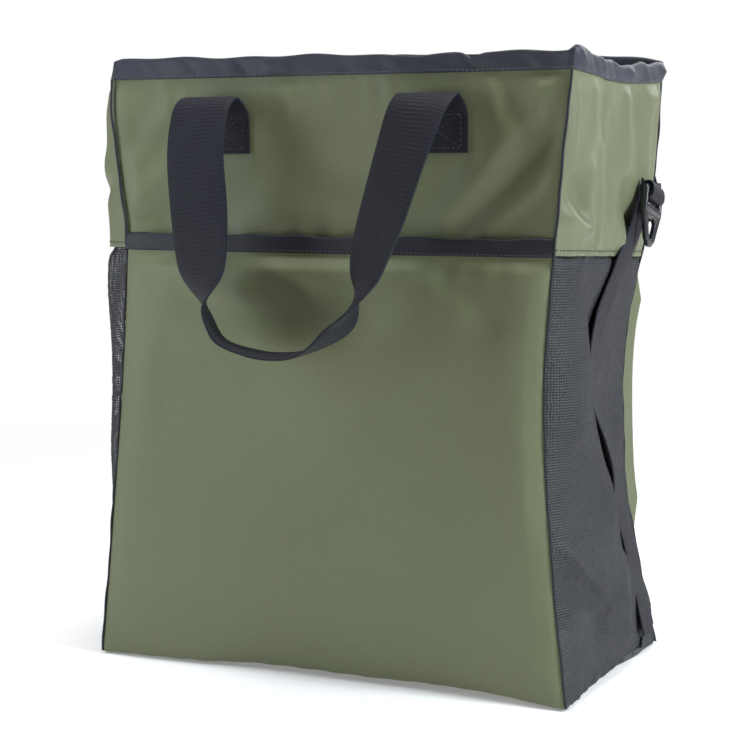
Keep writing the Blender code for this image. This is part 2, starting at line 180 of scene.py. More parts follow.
def crown(side, along, z):
    """The share of a side's bulge at a depth: spread out on the left, and on the right a slanting fold with
    a valley behind it."""
    if side < 0:
        return left_crown(along)
    crest = right_crest(z)
    before = 1 - np.clip(1 - along / crest, 0, 1) ** 2.2
    left_over = VALLEY * (1 - along) / (1 - crest)
    behind = np.clip((along - crest) * DEPTH / VALLEY_WIDE, 0, 1)
    fallen = left_over + (1 - left_over) * (1 + np.cos(math.pi * behind)) / 2
    return np.where(along < crest, before, fallen)


def side_point(side, along, z):
    place = between(corner(side, -1, z), corner(side, 1, z), along)
    place[..., 0] += side * side_bulge[side](z) * crown(side, along, z)
    return place


RIM_LIFT = {"front": 0.0, "right": -4.0, "back": 12.0, "left": 5.0}


def rim_foot(wall, along):
    """The height of the foot of the rim's tape along a wall."""
    return RIM_FOOT + RIM_LIFT[wall] * np.sin(math.pi * along)


def side_x(side, y, z):
    return float(side_point(side, np.float64((y + DEPTH / 2) / DEPTH), np.float64(z))[0])


def side_facing(side, y, z):
    """The direction that a side wall faces, taken over a reach of cloth nearly as wide as the strap."""
    reach = 9.0
    fore_and_aft = (side_x(side, y + reach, z) - side_x(side, y - reach, z)) / (2 * reach)
    up_and_down = (side_x(side, y, z + reach) - side_x(side, y, z - reach)) / (2 * reach)
    way = np.array([1, -fore_and_aft, -up_and_down]) * side
    return way / np.linalg.norm(way)


# ---------------------------------------------------------------- folds in the cloth


def ridge(a, b, start, end, wide, high):
    """A soft ridge, or a dent where high is below 0, along a line from start to end in the plane (a, b)."""
    run = np.subtract(end, start).astype(float)
    length = np.hypot(*run)
    run /= length
    along = (a - start[0]) * run[0] + (b - start[1]) * run[1]
    off = (a - start[0]) * -run[1] + (b - start[1]) * run[0]
    past = np.maximum(0, np.maximum(-along, along - length))
    return high * np.exp(-((off / wide) ** 2) - (past / (1.3 * wide)) ** 2)


def ripple(a, b, seed, size, high, stretch=1.0):
    """Broad, irregular unevenness: a few crossed waves with phases taken from seed."""
    draw = np.random.default_rng(seed)
    total = np.zeros_like(a)
    for octave in range(5):
        turn = draw.uniform(0, math.pi)
        wave = TURN / (size * draw.uniform(0.55, 1.5))
        phase = draw.uniform(0, TURN)
        total += np.sin(wave * (math.cos(turn) * a + math.sin(turn) * b / stretch) + phase + octave)
    return total * high / 3


def puckers(run, away, seed, pitch, reach, high):
    """Small gathers along a stitched edge: run is the distance along it, away the distance from it."""
    draw = np.random.default_rng(seed)
    drift = np.sin(run / (pitch * 2.7) + draw.uniform(0, TURN)) * 1.6
    swell = 0.6 + 0.4 * np.sin(run / (pitch * 3.9) + draw.uniform(0, TURN))
    return high * np.sin(TURN * run / pitch + drift) * swell * np.exp(-np.maximum(away, 0) / reach)


def normals_of(points):
    """The unit normal at every point of a grid whose rows go up and whose columns go to the right."""
    down = np.gradient(points, axis=0)
    over = np.gradient(points, axis=1)
    normal = np.cross(over, down)
    return normal / np.maximum(np.linalg.norm(normal, axis=-1, keepdims=True), 1e-9)


# ---------------------------------------------------------------- meshes


def materials_on(made, *names):
    for name in names:
        made.data.materials.append(MATERIALS[name])


def mesh_object(name, points, faces, uvs=None, slots=None):
    """points in millimetres, uvs per point in metres, slots the material slot of each face."""
    data = bpy.data.meshes.new(name)
    faces = faces.tolist() if isinstance(faces, np.ndarray) else faces
    data.from_pydata((np.asarray(points) * MM).tolist(), [], faces)
    if uvs is not None:
        layer = data.uv_layers.new(name="UVMap")
        corners = np.empty(len(data.loops), np.int32)
        data.loops.foreach_get("vertex_index", corners)
        layer.data.foreach_set("uv", np.asarray(uvs, np.float32)[corners].ravel())
    if slots is not None:
        data.polygons.foreach_set("material_index", np.asarray(slots, np.int32))
    data.polygons.foreach_set("use_smooth", [True] * len(data.polygons))
    data.update()
    made = bpy.data.objects.new(name, data)
    bpy.context.scene.collection.objects.link(made)
    return made


def lengths_along(points, axis=0):
    """The distance walked along a line's points, or along one axis of a grid of points."""
    step = np.linalg.norm(np.diff(points, axis=axis), axis=-1)
    pad = [(0, 0)] * step.ndim
    pad[axis] = (1, 0)
    return np.pad(np.cumsum(step, axis=axis), pad)


def interpolated(at, runs, rows):
    """The 3-D rows, one for each of runs, read off at other places along the same run."""
    return np.stack([np.interp(at, runs, rows[:, k]) for k in range(3)], axis=-1)


def grid_faces(rows, columns, ring=False):
    """The quads of a grid of points; where ring is set, its last column joins its first."""
    index = np.arange(rows * columns).reshape(rows, columns)
    if ring:
        index = np.concatenate([index, index[:, :1]], axis=1)
    quad = np.stack([index[:-1, :-1], index[:-1, 1:], index[1:, 1:], index[1:, :-1]], axis=-1)
    return quad.reshape(-1, 4)


def cloth(name, points, thick, outside="olive", inside="olive_inside", flip=False):
    """A sheet of cloth with its thickness on the far side of the given face, closed at its edges. flip turns
    the grid's columns round, where its normals would point into the bag."""
    points = points[:, ::-1] if flip else points
    rows, columns = points.shape[:2]
    back = points - normals_of(points) * thick
    count = rows * columns
    front_faces = grid_faces(rows, columns)
    index = np.arange(count).reshape(rows, columns)
    loop = np.concatenate([index[0, :-1], index[:-1, -1], index[-1, :0:-1], index[:0:-1, 0]])
    after = np.roll(loop, -1)
    edge = np.stack([after, loop, loop + count, after + count], axis=-1)
    faces = np.concatenate([front_faces, front_faces[:, ::-1] + count, edge])
    uv = np.stack([lengths_along(points, 1), lengths_along(points, 0)], axis=-1).reshape(-1, 2) * MM
    kinds = np.repeat([0, 1, 1], [len(front_faces), len(front_faces), len(edge)])
    made = mesh_object(name, np.concatenate([points.reshape(-1, 3), back.reshape(-1, 3)]), faces,
                       np.concatenate([uv, uv]), kinds)
    materials_on(made, outside, inside)
    made.data.set_sharp_from_angle(angle=math.radians(50))
    return made


def smooth_path(points, steps):
    """Points on a smooth curve through (place, width direction) pairs, as two arrays."""
    places = np.array([place for place, _ in points], float)
    ways = np.array([way for _, way in points], float)
    ways /= np.linalg.norm(ways, axis=1, keepdims=True)
    last = len(points) - 1
    out = []
    for k in range(last):
        span = [max(k - 1, 0), k, k + 1, min(k + 2, last)]
        t = np.linspace(0, 1, steps + 1)[: steps + (k == last - 1), None]
        pair = []
        for source in (places, ways):
            p0, p1, p2, p3 = source[span]
            pair.append(0.5 * (2 * p1 + (p2 - p0) * t + (2 * p0 - 5 * p1 + 4 * p2 - p3) * t**2
                               + (3 * p1 - p0 - 3 * p2 + p3) * t**3))
        out.append(np.concatenate(pair, axis=1))
    both = np.concatenate(out)
    return both[:, :3], both[:, 3:]


class Ribbon:
    """Flat webbing along a path: its middle line, the direction of its width and the way it faces."""

    def __init__(self, points, wide, step=0.7):
        middle, way = smooth_path(points, 40)
        run = lengths_along(middle)
        self.length = run[-1]
        self.wide = wide
        self.runs = np.linspace(0, self.length, max(8, int(self.length / step)))
        self.middle = interpolated(self.runs, run, middle)
        way = interpolated(self.runs, run, way)
        along = np.gradient(self.middle, axis=0)
        along /= np.linalg.norm(along, axis=1, keepdims=True)
        way = way - (way * along).sum(1, keepdims=True) * along
        self.across = way / np.linalg.norm(way, axis=1, keepdims=True)
        self.facing = np.cross(self.across, along)

    def at(self, run, off, lift):
        """Points at a distance along, off to one side and above the face, and the way that the face faces."""
        middle, across, facing = (interpolated(run, self.runs, rows)
                                  for rows in (self.middle, self.across, self.facing))
        return middle + across * off[:, None] + facing * lift, facing

    def mesh(self, name, thick, rib, rib_deep):
        """The woven strap: rounded selvedges, cross ribs, and a slight wave along its edges."""
        rows, columns = len(self.runs), 19
        off = np.linspace(-1, 1, columns)
        body = np.abs(off) ** 10
        edge_thin = 1 - 0.45 * body
        run = self.runs[:, None]
        drift = 0.9 * np.sin(run / 7.3 + 4 * off) + 0.7 * np.sin(run / 2.9 + 9 * off)
        ribs = np.sin(TURN * run / rib + drift) * (0.75 + 0.25 * np.sin(run / 11.0 + 6 * off))
        swell = 0.5 * thick * edge_thin + rib_deep * ribs * (1 - body)
        wave = 0.22 * np.sin(run / 17.0) * off**2
        side = off * self.wide / 2
        loop_off = np.concatenate([side, side[::-1]])
        lift = np.concatenate([wave + swell, (wave - swell)[:, ::-1]], axis=1)
        points = (self.middle[:, None] + self.across[:, None] * loop_off[None, :, None]
                  + self.facing[:, None] * lift[..., None])
        ring = 2 * columns
        faces = grid_faces(rows, ring, ring=True)[:, ::-1]
        cap = []
        for row, turned in ((0, False), (rows - 1, True)):
            for k in range(columns - 1):
                quad = [row * ring + place for place in (k, k + 1, ring - 2 - k, ring - 1 - k)]
                cap.append(quad[::-1] if turned else quad)
        uv = np.empty((rows, ring, 2))
        uv[..., 0] = loop_off[None, :] * MM
        uv[..., 1] = run * MM
        made = mesh_object(name, points.reshape(-1, 3), np.concatenate([faces, cap]), uv.reshape(-1, 2))
        materials_on(made, "webbing")
        made.data.set_sharp_from_angle(angle=math.radians(60))
        return made


def stitches(name, lines, material, pitch=3.1, radius=0.34):
    """Thread stitches as real geometry. Each line is (points, outward directions), stitched end to end."""
    long, rings, sides = 2.3, 5, 6
    points, faces = [], []
    for line, out in lines:
        run = lengths_along(line)
        count = max(1, int(run[-1] / pitch))
        for k in range(count):
            middle = (k + 0.5) * run[-1] / count
            spots = np.linspace(middle - long / 2, middle + long / 2, rings)
            path, up = interpolated(spots, run, line), interpolated(middle, run, out)
            along = path[-1] - path[0]
            if np.linalg.norm(along) < 1e-6:
                continue
            along /= np.linalg.norm(along)
            up = up - up.dot(along) * along
            up /= max(np.linalg.norm(up), 1e-9)
            over = np.cross(along, up)
            base = len(points)
            for j, place in enumerate(path):
                t = 2 * j / (rings - 1) - 1
                size = radius * (1 - 0.62 * t**2)
                rise = -0.8 * radius * t**2
                for s in range(sides):
                    angle = TURN * s / sides
                    points.append(place + over * math.cos(angle) * size
                                  + up * (math.sin(angle) * size + rise))
            for j in range(rings - 1):
                for s in range(sides):
                    a, b = base + j * sides + s, base + j * sides + (s + 1) % sides
                    faces.append((a, b, b + sides, a + sides))
            first, last = base, base + (rings - 1) * sides
            faces.append((first, first + 3, first + 2, first + 1))
            faces.append((first, first + 5, first + 4, first + 3))
            faces.append((last, last + 1, last + 2, last + 3))
            faces.append((last, last + 3, last + 4, last + 5))
    made = mesh_object(name, points, faces)
    materials_on(made, material)
    return made


# ---------------------------------------------------------------- materials


class Nodes:
    """A short way to write a node tree."""

    def __init__(self, name):
        self.material = bpy.data.materials.new(name)
        self.material.use_nodes = True
        self.tree = self.material.node_tree
        self.shader = self.tree.nodes["Principled BSDF"]

    def add(self, kind, inputs=None, **settings):
        node = self.tree.nodes.new(kind)
        for key, value in settings.items():
            setattr(node, key, value)
        for key, value in (inputs or {}).items():
            if isinstance(value, bpy.types.NodeSocket):
                self.tree.links.new(value, node.inputs[key])
            else:
                node.inputs[key].default_value = value
        return node

    def math(self, operation, a, b=0.0):
        return self.add("ShaderNodeMath", {0: a, 1: b}, operation=operation).outputs[0]

    def weigh(self, *pairs):
        """The sum of (value, weight) pairs."""
        total = None
        for value, weight in pairs:
            term = value if weight == 1 else self.math("MULTIPLY", value, weight)
            total = term if total is None else self.math("ADD", total, term)
        return total

    def spread(self, value, low, high, to_low=0.0, to_high=1.0):
        node = self.add("ShaderNodeMapRange", {"Value": value, "From Min": low, "From Max": high,
                                               "To Min": to_low, "To Max": to_high})
        return node.outputs["Result"]

    def mix(self, factor, a, b):
        node = self.add("ShaderNodeMix", {0: factor, 6: a, 7: b}, data_type="RGBA")
        return node.outputs[2]

    def noise(self, vector, scale, detail=4.0, rough=0.55):
        return self.add("ShaderNodeTexNoise", {"Vector": vector, "Scale": scale, "Detail": detail,
                                               "Roughness": rough}).outputs["Fac"]

    def uv(self):
        return self.add("ShaderNodeUVMap", uv_map="UVMap").outputs["UV"]

    def place(self):
        return self.add("ShaderNodeTexCoord").outputs["Object"]

    def split(self, vector):
        node = self.add("ShaderNodeSeparateXYZ", {0: vector})
        return node.outputs[0], node.outputs[1]

    def wave(self, value, pitch):
        """A 0 to 1 sine of a length in metres, repeating every pitch millimetres."""
        turned = self.math("SINE", self.math("MULTIPLY", value, TURN / (pitch * MM)))
        return self.spread(turned, -1.0, 1.0)

    def bump(self, height, far, strength=1.0):
        node = self.add("ShaderNodeBump", {"Strength": strength, "Distance": far * MM, "Height": height})
        self.tree.links.new(node.outputs["Normal"], self.shader.inputs["Normal"])

    def set(self, **values):
        for key, value in values.items():
            socket = self.shader.inputs[key.replace("_", " ")]
            if isinstance(value, bpy.types.NodeSocket):
                self.tree.links.new(value, socket)
            else:
                socket.default_value = value
        return self.material


THREAD_PITCH = 0.62  # between the threads of the coated cloth


def coated_cloth(name, colour, pale):
    """Tight plain-weave polyester with a soft coating: a fine basket of threads, slightly uneven in tone."""
    n = Nodes(name)
    across, up = n.split(n.uv())
    drift = n.noise(n.place(), 260.0, 2.0)
    warp = n.wave(n.weigh((across, 1), (drift, 0.00012)), THREAD_PITCH)
    weft = n.wave(n.weigh((up, 1), (drift, 0.00012)), THREAD_PITCH)
    check = n.math("MULTIPLY", n.wave(across, 2 * THREAD_PITCH), n.wave(up, 2 * THREAD_PITCH))
    thread = n.weigh((n.math("MULTIPLY", warp, weft), 1), (check, 0.35))
    cloud = n.noise(n.place(), 11.0, 4.0)
    fine = n.noise(n.place(), 900.0, 2.0)
    tone = n.weigh((cloud, 0.5), (fine, 0.5), (thread, 0.22))
    n.bump(n.weigh((thread, 1), (fine, 0.4)), 0.09, 0.55)
    return n.set(Base_Color=n.mix(n.spread(tone, 0.35, 0.85), colour, pale),
                 Roughness=n.spread(cloud, 0.3, 0.7, 0.45, 0.57),
                 Sheen_Weight=0.06, Sheen_Roughness=0.45, Specular_IOR_Level=0.42)


def binding_tape(name, colour, pale):
    """Grosgrain tape: fine ribs across, with a soft shine."""
    n = Nodes(name)
    across, up = n.split(n.uv())
    rib = n.wave(across, 0.9)
    fine = n.noise(n.place(), 700.0, 2.0)
    cloud = n.noise(n.place(), 25.0, 3.0)
    n.bump(n.weigh((rib, 1), (n.wave(up, 0.5), 0.4)), 0.07, 0.6)
    tone = n.weigh((rib, 0.3), (fine, 0.3), (cloud, 0.5))
    return n.set(Base_Color=n.mix(n.spread(tone, 0.2, 0.9), colour, pale),
                 Roughness=n.spread(cloud, 0.3, 0.7, 0.46, 0.58), Sheen_Weight=0.05, Sheen_Roughness=0.4,
                 Specular_IOR_Level=0.35)


def webbing_cloth(name, colour, pale):
    """Woven polypropylene webbing: warp threads along, seen between the ribs that the mesh has."""
    n = Nodes(name)
    across, along = n.split(n.uv())
    row = n.wave(along, 2.7)
    warp = n.wave(across, 1.15)
    stagger = n.wave(n.weigh((along, 1), (n.wave(across, 2.3), 0.0009)), 1.35)
    weave = n.weigh((warp, 0.7), (stagger, 0.6))
    fine = n.noise(n.place(), 800.0, 3.0)
    n.bump(n.weigh((weave, 1), (fine, 0.5)), 0.16, 0.8)
    tone = n.weigh((weave, 0.35), (fine, 0.45), (row, 0.25))
    return n.set(Base_Color=n.mix(n.spread(tone, 0.3, 1.0), colour, pale), Roughness=0.6,
                 Sheen_Weight=0.04, Sheen_Roughness=0.4, Specular_IOR_Level=0.22)


def mesh_threads(name, colour, pale):
    n = Nodes(name)
    fine = n.noise(n.place(), 1300.0, 3.0)
    cloud = n.noise(n.place(), 40.0, 3.0)
    n.bump(fine, 0.08, 0.5)
    tone = n.weigh((fine, 0.6), (cloud, 0.4))
    return n.set(Base_Color=n.mix(n.spread(tone, 0.3, 0.7), colour, pale), Roughness=0.55,
                 Specular_IOR_Level=0.45)


def moulded_plastic(name, colour):
    n = Nodes(name)
    grain = n.noise(n.place(), 1500.0, 2.0)
    smudge = n.noise(n.place(), 60.0, 3.0)
    n.bump(grain, 0.03, 0.35)
    return n.set(Base_Color=n.mix(smudge, colour, [c * 1.35 for c in colour[:3]] + [1]),
                 Roughness=n.spread(smudge, 0.3, 0.7, 0.24, 0.36), Specular_IOR_Level=0.55)


def fibre_board(name, colour, pale):
    n = Nodes(name)
    fibre = n.noise(n.place(), 500.0, 5.0, 0.7)
    cloud = n.noise(n.place(), 18.0, 3.0)
    n.bump(fibre, 0.12, 0.5)
    tone = n.weigh((fibre, 0.6), (cloud, 0.4))
    return n.set(Base_Color=n.mix(n.spread(tone, 0.3, 0.7), colour, pale), Roughness=0.7)


def thread_cloth(name, colour):
    n = Nodes(name)
    fine = n.noise(n.place(), 2500.0, 2.0)
    n.bump(fine, 0.05, 0.4)
    return n.set(Base_Color=n.mix(fine, colour, [c * 1.5 for c in colour[:3]] + [1]), Roughness=0.5,
                 Sheen_Weight=0.2)


MATERIALS = {
    "olive": coated_cloth("olive_coated_cloth", (0.108, 0.120, 0.060, 1), (0.142, 0.158, 0.083, 1)),
    "olive_inside": coated_cloth("olive_cloth_inside", (0.080, 0.088, 0.050, 1), (0.104, 0.114, 0.066, 1)),
    "rim_tape": binding_tape("grey_rim_tape", (0.017, 0.018, 0.026, 1), (0.040, 0.042, 0.060, 1)),
    "tape": binding_tape("dark_binding_tape", (0.006, 0.0062, 0.010, 1), (0.015, 0.0155, 0.025, 1)),
    "webbing": webbing_cloth("dark_webbing", (0.0035, 0.0036, 0.007, 1), (0.017, 0.0175, 0.028, 1)),
    "mesh": mesh_threads("dark_mesh_threads", (0.016, 0.016, 0.018, 1), (0.042, 0.042, 0.046, 1)),
    "plastic": moulded_plastic("dark_moulded_plastic", (0.012, 0.013, 0.016, 1)),
    "board": fibre_board("grey_board", (0.10, 0.10, 0.095, 1), (0.15, 0.15, 0.14, 1)),
    "dark_thread": thread_cloth("dark_thread", (0.010, 0.0105, 0.016, 1)),
    "pale_thread": thread_cloth("grey_thread", (0.030, 0.032, 0.042, 1)),
    "olive_thread": thread_cloth("olive_thread", (0.16, 0.17, 0.12, 1)),
}

# ---------------------------------------------------------------- the shell


def grid(rows, columns):
    """Row 0..1 going up and column 0..1 going across, as two arrays of one shape."""
    return np.meshgrid(np.linspace(0, 1, rows), np.linspace(0, 1, columns), indexing="ij")


FOOT_TURN = 2.4  # the radius of the turn under the base
FOOT_ROWS = 5
PANEL_FOOT = 2.9
FRONT_HALF, BACK_HALF = 155.0, 148.0  # the usual distance from the middle to a seam


def with_turned_foot(points, inward):
    """Adds rows below the first one, where the cloth turns under the base on a small radius."""
    first = points[0]
    drop = np.minimum(first[..., 2:] - 0.45, FOOT_TURN) * np.array([0, 0, 1])
    rows = []
    for k in range(FOOT_ROWS, 0, -1):
        angle = k / FOOT_ROWS * math.pi / 2
        rows.append(first + inward * FOOT_TURN * (1 - math.cos(angle)) - drop * math.sin(angle))
    under = rows[0] + inward * 3.0
    return np.concatenate([np.stack([under, *rows]), points])


def edge_roll(from_edge, high=1.0):
    """Cloth swells from its stitched edge, most about 10 mm in, and then settles."""
    from_edge = np.maximum(from_edge, 0)
    return high * ((1 - np.exp(-from_edge / 4.5)) + 1.5 * from_edge / 10 * np.exp(1 - from_edge / 10))


# Soft ridges and dents, each from (a, b) to (a, b) on its wall, with its width and its height.
RIDGES = {
    "front": (
        (84, 300, 148, 372, 9, 3.4), (100, 292, 160, 354, 8, -3.0), (104, 288, 152, 322, 7, 2.8),
        (20, 296, 70, 352, 16, 2.2), (-140, 306, -118, 322, 10, 3.0), (-142, 296, -100, 300, 6, -2.0),
        (-150, 346, -105, 356, 11, -2.4), (-136, 330, -112, 372, 9, 2.2), (-40, 300, 10, 326, 17, 3.0),
        (-6, 316, 44, 300, 14, -2.4), (-34, 346, 30, 372, 16, -2.0), (120, 384, 134, 352, 6, -1.6),
    ),
    "pocket": (
        (-92, 262, -56, 252, 11, 2.8), (-88, 240, -36, 230, 14, -2.4), (-30, 262, -6, 250, 9, 2.0),
        (-24, 236, 8, 222, 16, -1.8), (62, 266, 96, 244, 12, 2.4), (86, 262, 120, 236, 10, -2.0),
        (-20, 60, 40, 180, 40, 2.6), (128, 225, 140, 120, 12, 1.8), (-138, 60, -124, 210, 14, 1.8),
        (-150, 34, -90, 16, 14, 2.0), (-30, 44, 60, 26, 18, -1.6), (96, 52, 150, 20, 14, 1.8),
    ),
    "right": (
        (-80, 318, -62, 304, 8, -5.2), (-88, 372, -88, 326, 4.5, 2.6), (-62, 326, -52, 300, 7, 3.6),
        (-86, 300, -58, 290, 5.5, 4.2), (-34, 338, -18, 284, 7, 3.2), (12, 382, 24, 322, 8, 2.8),
        (-12, 356, -2, 304, 8, -2.6), (44, 372, 56, 330, 8, -2.6), (70, 380, 66, 332, 7, 2.2),
        (26, 316, 46, 296, 7, -3.6), (4, 300, 34, 282, 8, 3.0), (-50, 292, -46, 274, 5, 2.2),
        (-60, 384, -56, 352, 4.5, 1.8), (-30, 382, -26, 346, 5.5, -1.8),
    ),
    "left": (
        (-80, 330, -66, 300, 9, 3.0), (-84, 316, -60, 304, 6, -3.0), (-60, 350, -20, 300, 14, -2.0),
        (10, 370, 34, 290, 12, 2.0),
    ),
    "back": (
        (-120, 340, -40, 250, 18, 3.2), (120, 350, 30, 260, 16, 3.0), (-60, 60, 70, 150, 26, 2.6),
        (-100, 180, -20, 120, 16, -2.4), (60, 230, 120, 160, 14, -2.4), (100, 40, 146, 110, 12, 3.0),
    ),
    "right_gusset": (
        (-86, 98, -16, 50, 4.0, 2.6), (-80, 58, 24, 42, 4.5, 2.0), (-84, 78, -30, 40, 8, -2.4),
        (-70, 24, 30, 20, 7, 1.8), (-60, 150, -20, 120, 10, -1.8), (50, 60, 86, 26, 13, 4.5),
    ),
    "left_gusset": (
        (-70, 90, 10, 50, 6, 1.6),
    ),
}
# Short gathers under the rim, along the front: place, lean to one side, length, width and height.
GATHERS = (
    (-116, 3, 22, 4.0, 1.3), (-97, -5, 30, 4.5, 1.6), (-84, 4, 34, 3.6, 1.8), (-31, 6, 20, 5.0, 1.1),
    (9, -4, 26, 5.0, 1.3), (43, 4, 20, 4.0, 0.9), (112, 6, 30, 5.0, 1.3), (141, 6, 26, 4.0, 1.2),
)


def ridges(a, b, wall):
    return sum(ridge(a, b, row[:2], row[2:4], *row[4:]) for row in RIDGES[wall])


def front_upper_folds(x, z):
    total = ripple(x, z, 11, 95.0, 1.2) + ridges(x, z, "front")
    for place, lean_x, long, wide, high in GATHERS:
        total += ridge(x, z, (place, 388), (place + lean_x, 388 - long), wide, high)
    total += puckers(x, 385 - z, 3, 15.0, 9.0, 0.8) + puckers(x, z - 285, 4, 23.0, 10.0, 0.9)
    return total * sewn_flat(x, z, "front")


def pocket_folds(x, z):
    total = ripple(x, z, 23, 150.0, 1.5, 1.4) + ridges(x, z, "pocket")
    total += 4 * (1 - np.exp(-np.maximum(153 - np.abs(x), 0) / 26))
    return total + puckers(x, 273 - z, 5, 19.0, 10.0, 0.9) + puckers(x, z, 6, 22.0, 10.0, 0.7)


def right_upper_folds(y, z):
    total = ripple(y, z, 31, 55.0, 1.0) + ridges(y, z, "right")
    return total + puckers(y, 382 - z, 8, 14.0, 9.0, 0.9) + puckers(y, z - 272, 9, 14.0, 8.0, 0.9)


def left_upper_folds(y, z):
    total = ripple(y, z, 41, 60.0, 1.1) + ridges(y, z, "left")
    return total + puckers(y, 383 - z, 12, 16.0, 9.0, 0.9) + puckers(y, z - 272, 13, 15.0, 8.0, 0.9)


def back_folds(x, z):
    total = ripple(x, z, 51, 110.0, 1.6) + ridges(x, z, "back")
    total += puckers(x, 394 - z, 14, 16.0, 11.0, 1.0) + puckers(x, z, 15, 22.0, 9.0, 0.7)
    return total * sewn_flat(x, z, "back")


def right_gusset_folds(y, z):
    total = ripple(y, z, 61, 70.0, 1.2) + ridges(y, z, "right_gusset")
    return total + puckers(y, z, 16, 18.0, 8.0, 0.8) + puckers(y, 272 - z, 18, 13.0, 8.0, 0.8)


def left_gusset_folds(y, z):
    total = ripple(y, z, 71, 80.0, 1.2) + ridges(y, z, "left_gusset")
    return total + puckers(y, z, 17, 18.0, 8.0, 0.6)


TUCK = 3.0  # how far each panel runs up into the tape over its edge


def under_tape(lift, above):
    """Flattens the folds where a panel goes into its tape; above is the height over the tape's foot."""
    near = np.clip((above + 9) / 8, 0, 1)
    return lift * (1 - near) + np.clip(lift, -0.2, 0.2) * near


# Where webbing is sewn on: the middle (x, z) of each spot and half its size.
SEWN_SPOTS = {
    "front": ((-72.5, 358.0, 21.0, 22.0), (78.5, 358.0, 21.0, 22.0)),
    "back": ((-72.5, 358.0, 21.0, 22.0), (78.5, 358.0, 21.0, 22.0), (-127.0, 342.0, 18.0, 42.0),
             (142.0, 342.0, 20.0, 42.0)),
}


def sewn_flat(x, z, wall):
    """0 where webbing is sewn on, so that the cloth lies flat under it, and 1 away from there."""
    free = np.ones_like(x)
    for at_x, at_z, half_x, half_z in SEWN_SPOTS[wall]:
        beside = np.maximum(np.abs(x - at_x) - half_x, 0)
        free = free * np.clip(np.hypot(beside, np.maximum(np.abs(z - at_z) - half_z, 0)) / 12, 0, 1)
    return free


def long_wall(rows, columns, folds, top, point, face):
    """The grid of the front (face -1) or the back (face 1), with its folds standing out from the bag."""
    half = FRONT_HALF if face < 0 else BACK_HALF
    row, column = grid(rows, columns)
    across = (2 * column - 1) * (1 - SEAM_CLEAR / half)
    z = PANEL_FOOT + row * (top(column) - PANEL_FOOT)
    flat = point(across, z)
    from_edge = (1 - np.abs(across)) * half - SEAM_CLEAR
    lift = (folds(flat[..., 0], flat[..., 2]) * np.clip(from_edge / 12, 0, 1) + edge_roll(from_edge)
            + puckers(z, from_edge, 21, 13.0, 6.0, 0.2) * np.clip(from_edge / 2, 0, 1))
    lift = under_tape(lift, z - top(column) + TUCK)
    return flat - face * normals_of(flat) * lift[..., None], across, z


def back_roll(across, z):
    """How far the back's cloth rolls out past each seam, between the foot and the hem."""
    edge = (1 - np.abs(across)) * BACK_HALF
    return (10 * np.exp(-(((edge - 6) / 5.5) ** 2)) * np.clip(edge / 3, 0, 1)
            * np.clip((z - 60) / 40, 0, 1) * np.clip((268 - z) / 30, 0, 1))


def even_columns(side, columns):
    """Shares of the depth that are equally far apart along the wall's own curve, half-way up."""
    t = np.linspace(0, 1, 400)
    run = lengths_along(side_point(side, t, np.full_like(t, 200.0)))
    return np.interp(np.linspace(0, run[-1], columns), run, t)


def side_wall(side, rows, columns, folds, foot, top, tucked=False):
    """The grid of a side between two heights. A tucked one goes in behind the cloth above the hem."""
    row, column = np.meshgrid(np.linspace(0, 1, rows), even_columns(side, columns), indexing="ij")
    clear = SEAM_CLEAR / DEPTH
    along = clear + column * (1 - 2 * clear)
    low = foot(column)
    z = low + row * (top(along) - low)
    flat = side_point(side, along, z)
    from_edge = np.minimum(along, 1 - along) * DEPTH - SEAM_CLEAR
    lift = (folds(flat[..., 1], flat[..., 2]) * np.clip(from_edge / 10, 0, 1) + edge_roll(from_edge, 0.8)
            + puckers(z, from_edge, 22 + side, 12.0, 6.0, 0.35) * np.clip(from_edge / 2, 0, 1))
    lift = under_tape(lift, z - top(along) + TUCK)
    if tucked:
        lift = lift - 1.9 * np.clip((z - hem(column) + 5) / 4, 0, 1)
    return flat + side * normals_of(flat) * lift[..., None]


def hem(along):
    """The height of the seam between the side's cloth and its mesh."""
    return HEM[0] + (HEM[1] - HEM[0]) * along


def constant(value):
    return lambda column: np.full_like(column, value)


INWARD = np.array([0.0, 1.0, 0.0])  # from the front wall into the bag


def soft(name, made, slot_name, *nodes, body="bag"):
    """One piece of the bag: what it rides on and what it stands for. slot_name, the slot its finish would
    come from, is not used.
    """
    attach(made, body)
    if nodes:
        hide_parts(*nodes)
    return made


front_grid, _, _ = long_wall(190, 150, front_upper_folds, lambda t: rim_foot("front", t) + TUCK,
                             front_panel_point, -1)
soft("front", cloth("front_panel_cloth", with_turned_foot(front_grid, INWARD), CLOTH), "olive_cloth",
     "front_panel")

pocket_grid, _, _ = long_wall(150, 150, pocket_folds, constant(POCKET_TOP + TUCK), front_point, -1)
soft("pocket", cloth("front_pocket_cloth", with_turned_foot(pocket_grid, INWARD), CLOTH), "olive_cloth",
     "front_pocket")

back_grid, back_across, back_z = long_wall(170, 130, back_folds, lambda t: rim_foot("back", t) + TUCK,
                                           back_point, 1)
back_out = back_roll(back_across, back_z)
back_grid[..., 0] += np.sign(back_across) * back_out
back_grid[..., 1] += back_out * 0.5
soft("back", cloth("back_panel_cloth", with_turned_foot(back_grid, -INWARD), CLOTH, flip=True), "olive_cloth",
     "back_panel")

side_upper = {}
for side, side_name, folds in ((1, "right", right_upper_folds), (-1, "left", left_upper_folds)):
    side_upper[side] = side_wall(side, 90, 110, folds, hem, lambda t, n=side_name: rim_foot(n, t) + TUCK)
    soft(side_name, cloth(side_name + "_side_cloth", side_upper[side], CLOTH, flip=side < 0), "olive_cloth",
         side_name + "_side_panel")

# ---------------------------------------------------------------- open mesh gussets

MESH_PITCH = (2.1, 1.6)  # along the side and up it
MESH_HOLE = 0.46  # the share of a cell's width that is open
MESH_TUCK = 3.0  # how far the mesh goes up behind the hem


